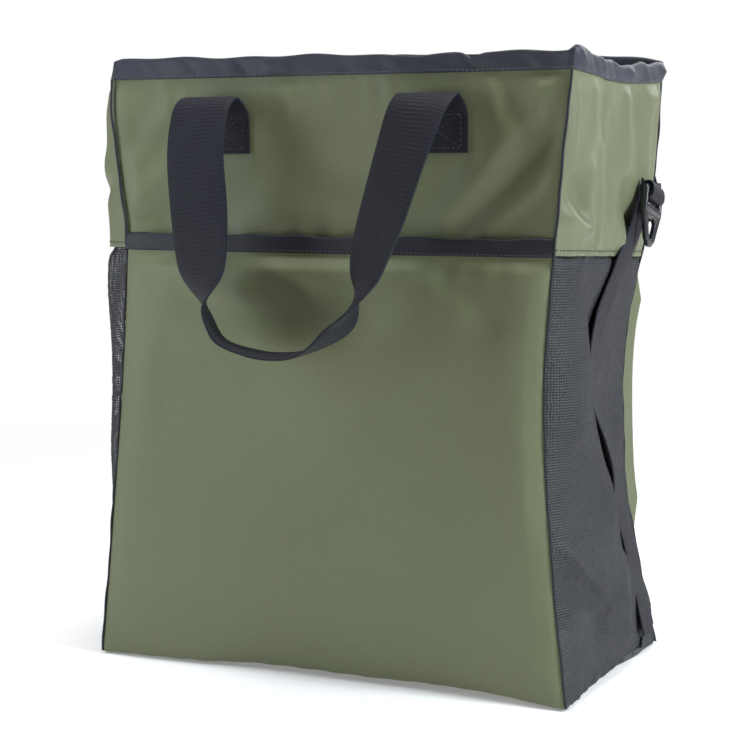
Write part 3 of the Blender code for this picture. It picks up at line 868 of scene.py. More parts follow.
def open_mesh(name, side, folds):
    """Knotted mesh with real holes: a grid of threads, raised where they cross."""
    columns, rows = int(1.08 * DEPTH / MESH_PITCH[0]), int((HEM[1] + MESH_TUCK - PANEL_FOOT) / MESH_PITCH[1])
    points = side_wall(side, rows + 1, columns + 1, folds, constant(PANEL_FOOT),
                       lambda t: hem(t) + MESH_TUCK, tucked=True)
    if side < 0:
        points = points[:, ::-1]
    normal = normals_of(points)
    draw = np.random.default_rng(80 + side)
    crossing = points + normal * (0.28 + 0.08 * draw.standard_normal((rows + 1, columns + 1, 1)))
    jitter = draw.uniform(-0.07, 0.07, (rows, columns, 2))
    inner = []
    low, high = (1 - MESH_HOLE) / 2, (1 + MESH_HOLE) / 2
    for s, t in ((low, low), (high, low), (high, high), (low, high)):
        u = np.clip(s + jitter[..., 0], 0.08, 0.92)[..., None]
        v = np.clip(t + jitter[..., 1], 0.08, 0.92)[..., None]
        floor = (points[:-1, :-1] * (1 - u) + points[:-1, 1:] * u) * (1 - v)
        floor = floor + (points[1:, :-1] * (1 - u) + points[1:, 1:] * u) * v
        inner.append(floor - normal[:-1, :-1] * 0.18)
    inner = np.stack(inner, axis=2)
    outer = np.arange((rows + 1) * (columns + 1)).reshape(rows + 1, columns + 1)
    holes = outer.size + np.arange(rows * columns * 4).reshape(rows, columns, 4)
    ring = [outer[:-1, :-1], outer[:-1, 1:], outer[1:, 1:], outer[1:, :-1]]
    faces = []
    for k in range(4):
        after = (k + 1) % 4
        quads = np.stack([ring[k], ring[after], holes[..., after], holes[..., k]], axis=-1)
        faces.append(quads.reshape(-1, 4))
    made = mesh_object(name, np.concatenate([crossing.reshape(-1, 3), inner.reshape(-1, 3)]),
                       np.concatenate(faces))
    materials_on(made, "mesh")
    return made


for side, side_name, folds in ((1, "right", right_gusset_folds), (-1, "left", left_gusset_folds)):
    soft(side_name + "_gusset", open_mesh(side_name + "_gusset_mesh", side, folds), "black_mesh",
         side_name + "_mesh_gusset")

for side, side_name in ((1, "right"), (-1, "left")):
    row, column = grid(8, 90)
    foot = side_point(side, column * 0.98 + 0.01, 0.3 + 5.2 * row)
    foot[..., 0] += side * (0.5 + 0.3 * np.sin(column * 40) - 1.6 * (1 - row) ** 3)
    strip = cloth(side_name + "_gusset_foot_tape", foot, 0.9, "mesh", "mesh", flip=side < 0)
    soft(side_name + "_gusset_foot", strip, "black_mesh")

# ---------------------------------------------------------------- folded tapes


def folded_tape(name, foot_line, top_line, out, thick, creases, material, closed=False):
    """Tape folded over an edge: up its outside, over the top, and down its inside. foot_line and top_line
    are the cloth's middle line at the tape's foot and top, out is the way it faces, and creases(run, rise)
    lifts it."""
    outside = ((0.0, 0.5), (0.02, 0.86), (0.06, 1.0), (0.25, 1.04), (0.5, 1.06), (0.75, 1.04), (0.9, 0.98),
               (0.965, 0.8), (0.992, 0.5))
    profile = np.array([*outside, (1.0, 0.0), *((rise, -off) for rise, off in reversed(outside))])
    rise, off = profile[:, :1], profile[:, 1:] * thick / 2
    run = lengths_along(foot_line)
    off = off + creases(run, rise) * (0.08 + 0.92 * np.sin(rise * math.pi))
    points = foot_line + (top_line - foot_line) * rise[..., None] + out * off[..., None]
    rows, columns = points.shape[:2]
    faces = grid_faces(rows, columns, ring=closed)
    index = np.arange(rows * columns).reshape(rows, columns)
    if closed:
        index = np.concatenate([index, index[:, :1]], axis=1)
    under = np.stack([index[-1, :-1], index[-1, 1:], index[0, 1:], index[0, :-1]], axis=-1)
    faces = np.concatenate([faces, under])
    if not closed:
        ends = [index[::-1, 0].tolist(), index[:, -1].tolist()]
        half = rows // 2
        caps = [[end[k], end[k + 1], end[rows - 2 - k], end[rows - 1 - k]]
                for end in ends for k in range(half) if end[k + 1] != end[rows - 2 - k]]
        faces = np.concatenate([faces, caps])
    uv = np.empty((rows, columns, 2))
    uv[..., 0] = run[None, :] * MM
    uv[..., 1] = lengths_along(points, 0) * MM
    made = mesh_object(name, points.reshape(-1, 3), faces, uv.reshape(-1, 2))
    materials_on(made, material)
    made.data.set_sharp_from_angle(angle=math.radians(70))
    return made


RIM_STEPS = 300  # along each wall


def rim_line(height):
    """The middle of the cloth round the mouth at a height above the tape's foot, wall by wall."""
    t = (np.arange(RIM_STEPS) + 0.5) / RIM_STEPS * 0.98 + 0.01
    walls = []
    for name in ("front", "right", "back", "left"):
        z = rim_foot(name, t) + height(name, t)
        if name == "front":
            line = front_panel_point(2 * t - 1, z)
        elif name == "back":
            line = back_point(1 - 2 * t, z)
        elif name == "right":
            line = side_point(1, t, z)
        else:
            line = side_point(-1, 1 - t, z)
        walls.append(line)
    return np.concatenate(walls)


def rim_top(name, t):
    """The rim isn't level: it dips and rises where the cloth is gathered."""
    wave = {
        "front": (0.9 * np.sin(5.2 * t + 0.6) + 0.6 * np.sin(17 * t) + 0.5 * np.sin(43 * t + 1)
                  - 3.2 * np.exp(-(((t - 0.79) / 0.016) ** 2))),
        "right": 1.2 * np.sin(6 * t + 2.2) + 0.9 * np.sin(19 * t + 1) + 0.5 * np.sin(37 * t),
        "back": 1.4 * np.sin(7 * t + 1) + 0.9 * np.sin(23 * t) + 0.5 * np.sin(41 * t),
        "left": 1.0 * np.sin(5 * t) + 0.6 * np.sin(21 * t),
    }[name]
    return RIM_TAPE + wave


rim_low, rim_high = rim_line(lambda n, t: 0.0), rim_line(rim_top)
rim_ahead = np.roll(rim_low, -1, axis=0) - np.roll(rim_low, 1, axis=0)
rim_out = np.cross(rim_ahead, (0, 0, 1.0))
for _ in range(3):
    rim_out = (np.roll(rim_out, 1, axis=0) + rim_out + np.roll(rim_out, -1, axis=0)) / 3
rim_out /= np.linalg.norm(rim_out, axis=1, keepdims=True)


# Sharper creases in the rim's tape: place along it, width and height.
RIM_CREASES = (
    (30, 3, 1.2), (60, 4, -1.2), (88, 3, 1.8), (97, 3, -1.4), (118, 4, 1.7), (128, 3, 1.2),
    (170, 4, -1.0), (205, 5, 1.3), (255, 4, -1.6), (300, 4, 1.5), (330, 5, 2.0), (352, 4, -1.6),
    (372, 5, 2.1), (400, 4, -1.4), (432, 6, 1.8), (470, 4, 1.4), (505, 5, 1.8), (560, 5, -1.5),
    (640, 6, 1.8), (700, 5, 1.5), (760, 5, 1.5), (830, 5, -1.5), (905, 6, 1.6),
)


def rim_creases(run, rise):
    slant = run + 16 * rise
    total = 0.45 * np.sin(slant / 8.5 + 1.5 * np.sin(run / 31)) + 0.40 * np.sin((run - 22 * rise) / 15)
    total = total + 0.25 * np.sin((run + 40 * rise) / 4.1 + 2.0 * np.sin(run / 19))
    for place, wide, high in RIM_CREASES:
        total = total + high * np.exp(-(((slant - place) / wide) ** 2))
    return total


soft("rim", folded_tape("rim_binding_tape", rim_low, rim_high, rim_out, RIM_THICK, rim_creases, "rim_tape",
                        closed=True), "black_tape", "rim_binding")

tape_t = np.linspace(0, 1, 190)


def pocket_edge(z):
    """The line across the pocket at a height, on the pocket's own folded surface."""
    row = np.clip((z - PANEL_FOOT) / (POCKET_TOP + TUCK - PANEL_FOOT), 0, 1) * (len(pocket_grid) - 1)
    low = int(row)
    high = min(low + 1, len(pocket_grid) - 1)
    line = pocket_grid[low] * (1 - row + low) + pocket_grid[high] * (row - low)
    return interpolated(tape_t * (len(line) - 1), np.arange(len(line)), line)


pocket_low = pocket_edge(POCKET_TOP + 1)
pocket_low[:, 1] += CLOTH / 2
pocket_high = pocket_low + np.array([0, 0, POCKET_TAPE - 0.6])
pocket_high[:, 2] += 0.5 * np.sin(tape_t * 21) + 0.4 * np.sin(tape_t * 47)
pocket_high[:, 1] += 0.5
pocket_out = np.tile(np.array([0.0, -1.0, 0.0]), (len(tape_t), 1))


def pocket_creases(run, rise):
    return 0.35 * np.sin((run + 9 * rise) / 9.0) + 0.25 * np.sin(run / 23.0)


soft("pocket_tape", folded_tape("pocket_binding_tape", pocket_low, pocket_high, pocket_out, POCKET_TAPE_THICK,
                                pocket_creases, "tape"), "black_tape", "pocket_binding")


# ---------------------------------------------------------------- corner seams

SEAM_WIDE, SEAM_THICK = 0.8, 0.85


def seam_tape(name, side, face):
    """The narrow tape folded over the raw edges of a corner seam, slightly uneven along its length."""
    steps, sides = 220, 12
    z = np.linspace(1.6, 386.0, steps)
    middle = corner(side, face, z)
    wander = 0.25 * np.sin(z / 11.0 + face) + 0.18 * np.sin(z / 4.3 + side)
    middle[:, 0] += side * (0.2 + wander)
    middle[:, 1] += face * (0.2 + 0.6 * wander)
    out = np.array([side, face, 0.0]) / math.sqrt(2)
    over = np.array([-face, side, 0.0]) / math.sqrt(2)
    points = []
    for k in range(sides):
        angle = TURN * k / sides
        wide = SEAM_WIDE * (1 + 0.08 * np.sin(z / 6.1))
        points.append(middle + out[None] * (math.cos(angle) * wide)[:, None]
                      + over[None] * math.sin(angle) * SEAM_THICK)
    points = np.stack(points, axis=1)
    handed = side * face > 0
    faces = grid_faces(steps, sides, ring=True)
    faces = faces if handed else faces[:, ::-1]
    caps = []
    for first, at_top in ((0, False), ((steps - 1) * sides, True)):
        for k in range(1, sides - 1, 2):
            rest = [first + k, first + k + 1, first + k + 2]
            caps.append([first, *(rest[::-1] if at_top != handed else rest)])
    uv = np.empty((steps, sides, 2))
    uv[..., 0] = z[:, None] * MM
    uv[..., 1] = np.arange(sides)[None, :] * 0.0009
    made = mesh_object(name, points.reshape(-1, 3), np.concatenate([faces, caps]), uv.reshape(-1, 2))
    materials_on(made, "tape")
    return made


for side, side_name in ((-1, "left"), (1, "right")):
    for face, face_name in ((-1, "front"), (1, "back")):
        node = f"{face_name}_{side_name}_seam_binding"
        soft(node, seam_tape(f"{face_name}_{side_name}_seam_tape", side, face), "black_tape", node)

# ---------------------------------------------------------------- base


def base_outline(front_inset, inset):
    """The outline (x, y) of the floor of the bag, drawn in from its walls."""
    t = np.linspace(0, 1, 60)
    zero = np.zeros_like(t)
    front, back = front_inset - DEPTH / 2, DEPTH / 2 - inset
    rear = back_point(1 - 2 * t, zero)
    rear[:, 1] -= inset
    sides = [side_point(1, t, zero), side_point(-1, 1 - t, zero)]
    right, left = ([line[(line[:, 1] > front + 3) & (line[:, 1] < back - 3)] for line in sides])
    line = np.concatenate([front_point(2 * t - 1, zero, front_inset), right, rear, left])
    return line[:, 0] * (1 - inset / HALF_WIDTH[0][1]), line[:, 1]


def base_slab(name, outline, layers, material, foot_lift):
    """A slab on the base: rings going in from the outline, at each (inset share, height)."""
    x, y = outline
    middle = np.array([x.mean(), y.mean()])
    rings, count = [], len(x)
    for share, z in layers:
        px, py = middle[0] + (x - middle[0]) * share, middle[1] + (y - middle[1]) * share
        from_front = (py + DEPTH / 2 - 14) / 12
        rise = foot_lift * (1 - (px / HALF_WIDTH[0][1]) ** 2) * np.exp(-from_front)
        rings.append(xyz(px, py, z + rise))
    points = np.concatenate([*rings, [[*middle, layers[0][1]], [*middle, layers[-1][1]]]])
    total, last = len(layers) * count, (len(layers) - 1) * count
    faces = grid_faces(len(layers), count, ring=True).tolist()
    for k in range(count):
        after = (k + 1) % count
        faces += [[k, after, total], [last + after, last + k, total + 1]]
    made = mesh_object(name, points, faces, points[:, :2] * MM)
    made.data.set_sharp_from_angle(angle=math.radians(45))
    materials_on(made, material)
    return made


BASE_LAYERS = ((0.5, 0.02), (0.9, 0.02), (0.985, 0.05), (1.0, 0.6),
               (1.0, 1.3), (0.99, 1.9), (0.9, 2.0), (0.5, 2.0))
BOARD_LAYERS = ((0.5, 2.4), (0.95, 2.4), (0.997, 2.6), (1.0, 3.4),
                (1.0, 4.6), (0.996, 5.2), (0.95, 5.4), (0.5, 5.4))
base = base_slab("base_cloth", base_outline(3.0, 3.0), BASE_LAYERS, "olive", 5.0)
soft("base", base, "olive_cloth", "base_panel")
board = base_slab("base_board_panel", base_outline(12.0, 8.0), BOARD_LAYERS, "board", 0.0)
soft("board", board, "base_board", "base_board")

# ---------------------------------------------------------------- handles

# The loop's route, from its left fold to its right: x from the middle of the handle, how far out past the
# folds, z, and the direction of its width.
LOOP = (
    (-75.5, 2.2, 371.0, (1, 0, 0)),
    (-75.5, 12.0, 362.0, (1, 0, 0)),
    (-72.5, 23.0, 336.0, (1, 0, 0)),
    (-67.5, 28.0, 300.0, (1, 0, 0)),
    (-64.5, 30.0, 266.0, (0.97, 0.25, 0)),
    (-61.0, 31.0, 240.0, (0.45, 0.9, 0)),
    (-50.0, 32.0, 222.0, (0.43, 0.9, 0)),
    (-26.0, 32.0, 214.0, (0.4, 0.92, 0)),
    (-2.0, 32.0, 213.5, (0.3, 0.95, 0)),
    (16.0, 32.0, 219.0, (0.12, 1, 0)),
    (31.0, 31.0, 231.0, (-0.02, 1, 0)),
    (42.0, 31.0, 248.0, (0.43, 0.9, 0)),
    (47.5, 30.0, 264.0, (0.79, 0.62, 0)),
    (53.0, 29.0, 282.0, (0.88, 0.47, 0)),
    (61.5, 28.0, 308.0, (0.94, 0.34, 0)),
    (68.0, 22.0, 336.0, (0.97, 0.24, 0)),
    (73.0, 12.0, 361.0, (0.99, 0.1, 0)),
    (75.5, 2.2, 371.0, (1, 0, 0)),
)


def panel_at(face, x, z):
    """The y of the front or back panel at a place."""
    z = np.float64(z)
    across = (x - lean(z)) / half_width(z)
    return float((front_panel_point if face < 0 else back_point)(across, z)[1])


def handle_route(face):
    """From the foot of one sewn end, over its fold, round the loop, and down the other sewn end."""
    fold_y = face * FOLD_OUT[face]
    lie = HANDLE_THICK / 2 + GAP + 0.9
    ends = {}
    for side in (-1, 1):
        x = HANDLE_MIDDLE + side * HANDLE_SPREAD
        way = (1, 0, 0)
        ends[side] = [
            ((x, panel_at(face, x, PATCH_FOOT) + face * lie, PATCH_FOOT), way),
            ((x, panel_at(face, x, 350) + face * lie, 350.0), way),
            ((x, panel_at(face, x, 362) + face * (lie + 1.2), 362.0), way),
            ((x, fold_y - face * 4.6, 370.2), way),
        ]
    loop = [((HANDLE_MIDDLE + x, fold_y + face * off, z), (ax, face * ay, az))
            for x, off, z, (ax, ay, az) in LOOP]
    return ends[-1] + loop + ends[1][::-1]


def box_stitch(ribbon, start, end, half, thick, way):
    """A sewn box with a cross, as stitch lines on the ribbon's face that looks to way along y."""
    near_end = 4 if start < ribbon.length / 2 else -5
    lift = way * np.sign(ribbon.facing[near_end][1]) * (thick / 2 + THREAD_PROUD)
    corners = ((start, -half), (start, half), (end, half), (end, -half))
    t = np.linspace(0, 1, 20)
    lines = []
    for first, last in ((0, 1), (1, 2), (2, 3), (3, 0), (0, 2), (1, 3)):
        (run0, off0), (run1, off1) = corners[first], corners[last]
        place, facing = ribbon.at(run0 + (run1 - run0) * t, off0 + (off1 - off0) * t, lift)
        lines.append((place, facing * np.sign(lift)))
    return lines


for face, body in ((-1, "front_handle"), (1, "back_handle")):
    ribbon = Ribbon(handle_route(face), HANDLE_WIDE)
    made = ribbon.mesh(body + "_webbing", HANDLE_THICK, 2.7, 0.2)
    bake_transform(made)
    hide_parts(body, body + "_left_end", body + "_right_end")
    lines = box_stitch(ribbon, 3.0, 24.0, 16.0, HANDLE_THICK, face)
    lines += box_stitch(ribbon, ribbon.length - 24.0, ribbon.length - 3.0, 16.0, HANDLE_THICK, face)
    soft(body + "_stitch", stitches(body + "_box_stitches", lines, "dark_thread"), "black_webbing")

# ---------------------------------------------------------------- side straps and ladder locks


def lock_frame(side):
    """The middle of the lock's top bar, the direction along the bar, and the direction down the lock."""
    y, z = LOCK_PLACE
    centre = np.array([side_x(side, y - LOCK_WIDE / 2, z) + side * LOCK_OFF, y, z])
    across = np.array([0, math.cos(LOCK_TURN), -math.sin(LOCK_TURN)])
    down = np.array([0, -math.sin(LOCK_TURN), -math.cos(LOCK_TURN)])
    return centre, across, down


# The strap's route up the side: y, z, and how far it stands off the wall.
STRAP_ROUTE = (
    (72.0, 14.0, 4.4),
    (68.5, 38.0, 4.2),
    (64.0, 62.0, 4.0),
    (57.0, 88.0, 4.0),
    (41.0, 109.0, 4.2),
    (24.0, 125.0, 5.0),
    (7.0, 141.0, 5.8),
    (-8.0, 159.0, 6.2),
    (-16.0, 181.0, 5.6),
    (-14.0, 205.0, 4.6),
    (-2.0, 227.0, 4.2),
    (12.0, 241.0, 3.8),
    (26.0, 254.0, 3.8),
    (39.0, 270.0, 3.8),
    (52.0, 287.0, 4.0),
)


def lower_strap(side):
    """Up the side, over the lock's top bar from behind, and in through its slot."""
    centre, across, down = lock_frame(side)
    out = np.array([side, 0.0, 0.0])
    turn = BAR_ROUND + GAP + 0.8
    places = [np.array([side_x(side, y, z), y, z]) + side_facing(side, y, z) * off
              for y, z, off in STRAP_ROUTE]
    points = []
    for k, (y, z, _) in enumerate(STRAP_ROUTE):
        ahead = places[min(k + 1, len(places) - 1)] - places[max(k - 1, 0)]
        points.append((places[k], np.cross(side_facing(side, y, z), ahead) * -side))
    points.append((centre + down * 8 - out * turn - across * 4, across))
    for degrees in (0, 45, 90, 135, 180):
        angle = math.radians(degrees)
        points.append((centre + (-math.cos(angle) * out - math.sin(angle) * down) * turn, across))
    points.append((centre + down * 4.5 + out * turn, across))
    points.append((centre + down * 6.6 + out * (turn - 1.6), across))
    points.append((centre + down * 6.9, across))
    return [(tuple(p), tuple(np.array(w) / np.linalg.norm(w))) for p, w in points]


def upper_strap(side):
    """From behind the lock, round the back seam, up the back panel to its sewn end."""
    up = (0.0, 0.0, 1.0)
    edge = corner(side, 1, np.float64(STRAP_TOP_TURN))
    back = DEPTH / 2 + 0.8 + GAP
    anchor_x = at_level(360, LEAN) + side * 130.0
    return [
        ((side_x(side, 78, 300) + side * 4.0, 79.0, 302.0), up),
        ((edge[0] + side * 6.0, 87.0, 304.4), up),
        ((edge[0] + side * 6.4, 92.5, 305.0), up),
        ((edge[0] + side * 6.0, 95.0, 305.2), up),
        ((edge[0] + side * 3.4, back + 2.6, 305.4), up),
        ((edge[0] - side * 7.0, back + 6.0, 307.0), up),
        ((anchor_x + side * 3.0, back + 5.0, 338.0), (side * 0.78, 0, 0.62)),
        ((anchor_x, back + 2.8, 352.0), (side, 0, 0)),
        ((anchor_x, back + 2.4, 374.0), (side, 0, 0)),
    ]


def rounded_bar(start, end, wide, thick, across, facing, sides=14):
    """A bar with a rounded section, closed at both ends, as (points, faces)."""
    start, end = np.array(start, float), np.array(end, float)
    steps = 9
    points = []
    for k in range(steps):
        t = k / (steps - 1)
        ends = min(1.0, 0.72 + 2.6 * min(t, 1 - t))
        middle = start + (end - start) * t
        for s in range(sides):
            angle = TURN * s / sides
            c, d = math.cos(angle), math.sin(angle)
            points.append(middle + across * np.sign(c) * abs(c) ** 0.75 * wide / 2 * ends
                          + facing * np.sign(d) * abs(d) ** 0.75 * thick / 2 * ends)
    faces = grid_faces(steps, sides, ring=True).tolist()
    faces += [[0, *range(sides - 1, 0, -1)], [(steps - 1) * sides + k for k in range(sides)]]
    return points, faces


def plate_outline(points, count, soften):
    """Corner-cutting, so that a moulded outline has no sharp corners."""
    line = np.array(points, float)
    for _ in range(count):
        after = np.roll(line, -1, axis=0)
        step = (after - line) * soften
        line = np.stack([line + step, after - step], axis=1).reshape(-1, 2)
    return line


def evaluated_mesh(made):
    bpy.context.view_layer.update()
    return bpy.data.meshes.new_from_object(made.evaluated_get(bpy.context.evaluated_depsgraph_get()))


LOCK_HALF, LOCK_TIP = LOCK_WIDE / 2, BAR_STEP + LOCK_TAIL
LOCK_INNER = LOCK_HALF - LOCK_RAIL


def lock_plate(name):
    """The lock's flat frame with its strap slot and its open thumb tab, lying in the plane z = 0."""
    half, inner, tip = LOCK_HALF, LOCK_INNER, LOCK_TIP
    outer = ((-half, -BAR / 2), (0, -BAR / 2), (half, -BAR / 2), (half, BAR_STEP * 0.4), (half, BAR_STEP + 4),
             (half * 0.42, tip - 4), (half * 0.2, tip), (-half * 0.2, tip), (-half * 0.42, tip - 4),
             (-half, BAR_STEP + 4), (-half, BAR_STEP * 0.4))
    slot = ((-inner, BAR / 2), (inner, BAR / 2), (inner, BAR_STEP - BAR / 2), (-inner, BAR_STEP - BAR / 2))
    tab = ((-inner * 0.72, BAR_STEP + BAR + 2), (inner * 0.72, BAR_STEP + BAR + 2), (inner * 0.2, tip - 5),
           (-inner * 0.2, tip - 5))
    edge = 0.8 * MM
    curve = bpy.data.curves.new(name + "_plate", "CURVE")
    curve.dimensions = "2D"
    curve.fill_mode = "BOTH"
    curve.extrude = LOCK_THICK / 2 * MM - edge
    curve.bevel_depth = edge
    curve.bevel_resolution = 3
    curve.offset = -edge
    for outline in (plate_outline(outer, 3, 0.2), plate_outline(slot, 2, 0.12), plate_outline(tab, 3, 0.2)):
        spline = curve.splines.new("POLY")
        spline.points.add(len(outline) - 1)
        spline.use_cyclic_u = True
        for point, (x, y) in zip(spline.points, outline):
            point.co = (x * MM, -y * MM, 0, 1)
    maker = bpy.data.objects.new(name + "_plate", curve)
    bpy.context.scene.collection.objects.link(maker)
    data = evaluated_mesh(maker)
    bpy.data.objects.remove(maker)
    data.materials.clear()
    return data


def lock_bars(side):
    """The round top bar, the toothed grip bar, and the rails that thicken both edges and the tab."""
    centre, across, down = lock_frame(side)
    out = np.array([side, 0.0, 0.0])
    reach = across * (LOCK_INNER + 1.2)
    bars = [rounded_bar(centre - reach, centre + reach, BAR + 0.8, 3.7, down, out)]
    grip = centre + down * (BAR_STEP + 0.4) + out * 0.5
    reach = across * (LOCK_HALF - 0.6)
    bars.append(rounded_bar(grip - reach, grip + reach, BAR + 2.4, 4.2, down, out))
    for k in range(9):
        tooth = grip - down * 2.1 + across * (k - 4) * 2.7
        bars.append(rounded_bar(tooth - out * 0.9, tooth + out * 2.0, 1.5, 1.6, across, down, 8))
    for edge in (-1, 1):
        beside = centre + across * edge * (LOCK_HALF - 1.5)
        turn = beside + down * (BAR_STEP + 4)
        tip = centre + across * edge * LOCK_HALF * 0.36 + down * (LOCK_TIP - 3)
        bars.append(rounded_bar(beside - down * 0.6, turn, 2.9, 4.4, across, out))
        bars.append(rounded_bar(turn - down * 1.5, tip, 2.6, 3.9, across, out))
    return bars


def ladder_lock(side, name):
    """The moulded lock: its plate and its bars as one piece."""
    centre, across, down = lock_frame(side)
    ways = (across * side, -down, np.array([side, 0.0, 0.0]))
    data = lock_plate(name)
    data.transform(Matrix([[*(way[k] for way in ways), centre[k] * MM] for k in range(3)] + [[0, 0, 0, 1]]))
    made = bpy.data.objects.new(name, data)
    bpy.context.scene.collection.objects.link(made)
    for number, (points, faces) in enumerate(lock_bars(side)):
        union = made.modifiers.new(f"bar_{number}", "BOOLEAN")
        union.operation = "UNION"
        union.solver = "EXACT"
        union.object = mesh_object(f"{name}_part{number}", points, faces)
    data = evaluated_mesh(made)
    for union in made.modifiers:
        bpy.data.objects.remove(union.object)
    made.modifiers.clear()
    made.data = data
    data.materials.clear()
    materials_on(made, "plastic")
    data.polygons.foreach_set("use_smooth", [True] * len(data.polygons))
    data.set_sharp_from_angle(angle=math.radians(38))
    return made


def strap_anchor(side, name):
    """The tab sewn over the strap's foot, near the back seam, and the grid of its face."""
    row, column = grid(12, 24)
    y = (82.0 - 24.0 * column) * (1 - row) + (78.0 - 14.0 * column) * row
    points = side_point(side, (y + DEPTH / 2) / DEPTH, 5.0 + 6.0 * row)
    points[..., 0] += side * 2.4
    return cloth(name, points, 1.5, "tape", "tape", flip=side > 0), points


for side, side_name in ((-1, "left"), (1, "right")):
    body = side_name + "_strap"
    ribbon = Ribbon(lower_strap(side), STRAP_WIDE, 0.5)
    made = ribbon.mesh(side_name + "_lower_strap_webbing", STRAP_THICK, 1.9, 0.08)
    soft(body, made, "black_webbing", side_name + "_lower_strap", body=body)
    ribbon = Ribbon(upper_strap(side), STRAP_WIDE, 0.5)
    made = ribbon.mesh(side_name + "_upper_strap_webbing", STRAP_THICK, 1.9, 0.08)
    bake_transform(made)
    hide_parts(side_name + "_upper_strap", side_name + "_strap_top_end")
    lines = box_stitch(ribbon, ribbon.length - 22.0, ribbon.length - 3.0, 9.5, STRAP_THICK, 1)
    soft(body + "_stitch", stitches(side_name + "_strap_end_stitches", lines, "dark_thread"), "black_webbing")
    lock = ladder_lock(side, side_name + "_ladder_lock_plastic")
    soft(side_name + "_lock", lock, "black_plastic", side_name + "_ladder_lock", body=side_name + "_lock")
    tab, tab_points = strap_anchor(side, side_name + "_strap_anchor_tab")
    soft(side_name + "_anchor", tab, "black_tape", side_name + "_strap_anchor")
    way = np.tile(np.array([side, 0.0, 0.0]), (tab_points.shape[1], 1))
    lines = [(tab_points[row] + way * 0.15, way) for row in (8, 3)]
    soft(side_name + "_anchor_stitch", stitches(side_name + "_anchor_stitches", lines, "dark_thread"),
         "black_tape")

# ---------------------------------------------------------------- seams and hems


def hem_line(side, row):
    """A stitch line along a side's cloth at a row number that need not be whole, and the way it faces."""
    points = side_upper[side]
    low = int(row)
    out = normals_of(points)[low] * side
    return points[low] * (1 - row + low) + points[low + 1] * (row - low) + out * 0.22, out


for piece, row, thread, radius in (("hem", 2.6, "dark_thread", 0.45), ("hem_edge", 0.7, "olive_thread", 0.3)):
    lines = [hem_line(side, row) for side in (1, -1)]
    soft(piece + "_stitch", stitches(f"side_{piece}_stitches", lines, thread, radius=radius), "olive_cloth")

rim_stitch_line = rim_low + (rim_high - rim_low) * 0.11
lines = []
for way in (rim_out, -rim_out):
    line = rim_stitch_line + way * (RIM_THICK / 2 + THREAD_PROUD)
    lines.append((np.concatenate([line, line[:1]]), np.concatenate([way, way[:1]])))
soft("rim_stitch", stitches("rim_stitches", lines, "pale_thread", pitch=3.3), "black_tape")

tape_stitch = pocket_low + (pocket_high - pocket_low) * 0.12 + pocket_out * (POCKET_TAPE_THICK / 2 + 0.1)
soft("pocket_stitch", stitches("pocket_stitches", [(tape_stitch, pocket_out)], "dark_thread"), "black_tape")

# ---------------------------------------------------------------- floor, light and camera

scene = bpy.context.scene


def studio_floor():
    """Pale under the bag, where it takes a soft shadow, and glowing white further out, so that it shows no
    horizon."""
    n = Nodes("pale_floor")
    away = n.add("ShaderNodeVectorMath", {0: n.place()}, operation="LENGTH").outputs["Value"]
    glow = n.spread(away, 0.35, 1.3)
    n.shader.inputs["Emission Color"].default_value = (1, 1, 1, 1)
    return n.set(Base_Color=n.mix(glow, (0.80, 0.80, 0.80, 1), (0, 0, 0, 1)),
                 Emission_Strength=n.spread(glow, 0.0, 1.0, 0.22, 1.0), Roughness=0.8, Specular_IOR_Level=0.0)


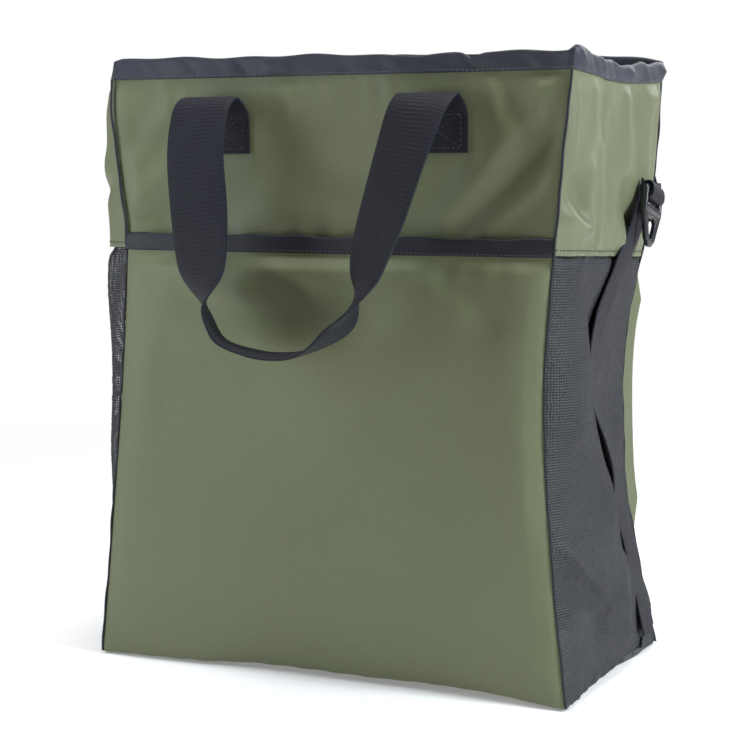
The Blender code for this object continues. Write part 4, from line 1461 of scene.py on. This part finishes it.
FLOOR_HALF, FLOOR_LOW = 6.0, -0.0004  # metres
floor_corners = [(x * FLOOR_HALF, y * FLOOR_HALF, FLOOR_LOW) for x, y in ((-1, -1), (1, -1), (1, 1), (-1, 1))]
floor_data = bpy.data.meshes.new("floor")
floor_data.from_pydata(floor_corners, [], [(0, 1, 2, 3)])
floor = bpy.data.objects.new("floor", floor_data)
scene.collection.objects.link(floor)
floor_data.materials.append(studio_floor())

world = bpy.data.worlds.new("pale_world")
world.use_nodes = True
sky = world.node_tree
lit = sky.nodes["Background"]
lit.inputs[0].default_value = (1.0, 0.975, 0.94, 1)
lit.inputs[1].default_value = 0.10
seen = sky.nodes.new("ShaderNodeBackground")
seen.inputs[0].default_value = (1, 1, 1, 1)
seen.inputs[1].default_value = 1.0
ray = sky.nodes.new("ShaderNodeLightPath")
choose = sky.nodes.new("ShaderNodeMixShader")
sky.links.new(ray.outputs["Is Camera Ray"], choose.inputs[0])
sky.links.new(lit.outputs[0], choose.inputs[1])
sky.links.new(seen.outputs[0], choose.inputs[2])
sky.links.new(choose.outputs[0], sky.nodes["World Output"].inputs["Surface"])
scene.world = world


# Places and sizes of the lights and the camera are in metres, and powers in watts.
def soft_light(name, place, aim, size, power, colour=(1, 1, 1)):
    data = bpy.data.lights.new(name, "AREA")
    data.shape = "RECTANGLE"
    data.size, data.size_y = size
    data.energy = power
    data.color = colour
    light = bpy.data.objects.new(name, data)
    scene.collection.objects.link(light)
    light.visible_camera = False
    light.location = place
    light.rotation_euler = (Vector(aim) - Vector(place)).to_track_quat("-Z", "Y").to_euler()


COOL = (0.90, 0.98, 1.06)
soft_light("key", (1.9, -0.27, 1.0), (0.1, 0, 0.25), (0.7, 0.9), 51, COOL)
soft_light("left", (-0.47, -0.43, 0.36), (-0.15, -0.09, 0.24), (0.22, 0.5), 1.7, COOL)
soft_light("back", (0.5, 1.6, 1.1), (0, 0, 0.2), (1.0, 1.0), 14)
soft_light("top", (0.0, -0.2, 2.2), (0, 0, 0.2), (0.8, 0.8), 34)

camera_data = bpy.data.cameras.new("camera")
camera_data.sensor_width = 36.0
camera_data.lens = 92.04
camera = bpy.data.objects.new("camera", camera_data)
scene.collection.objects.link(camera)
camera.location = (0.5509, -1.1670, 0.3264)
camera.rotation_euler = (math.radians(90 - 6.09), 0, math.radians(25.5))
scene.camera = camera
scene.view_settings.view_transform = "Standard"

bpy.context.view_layer.update()
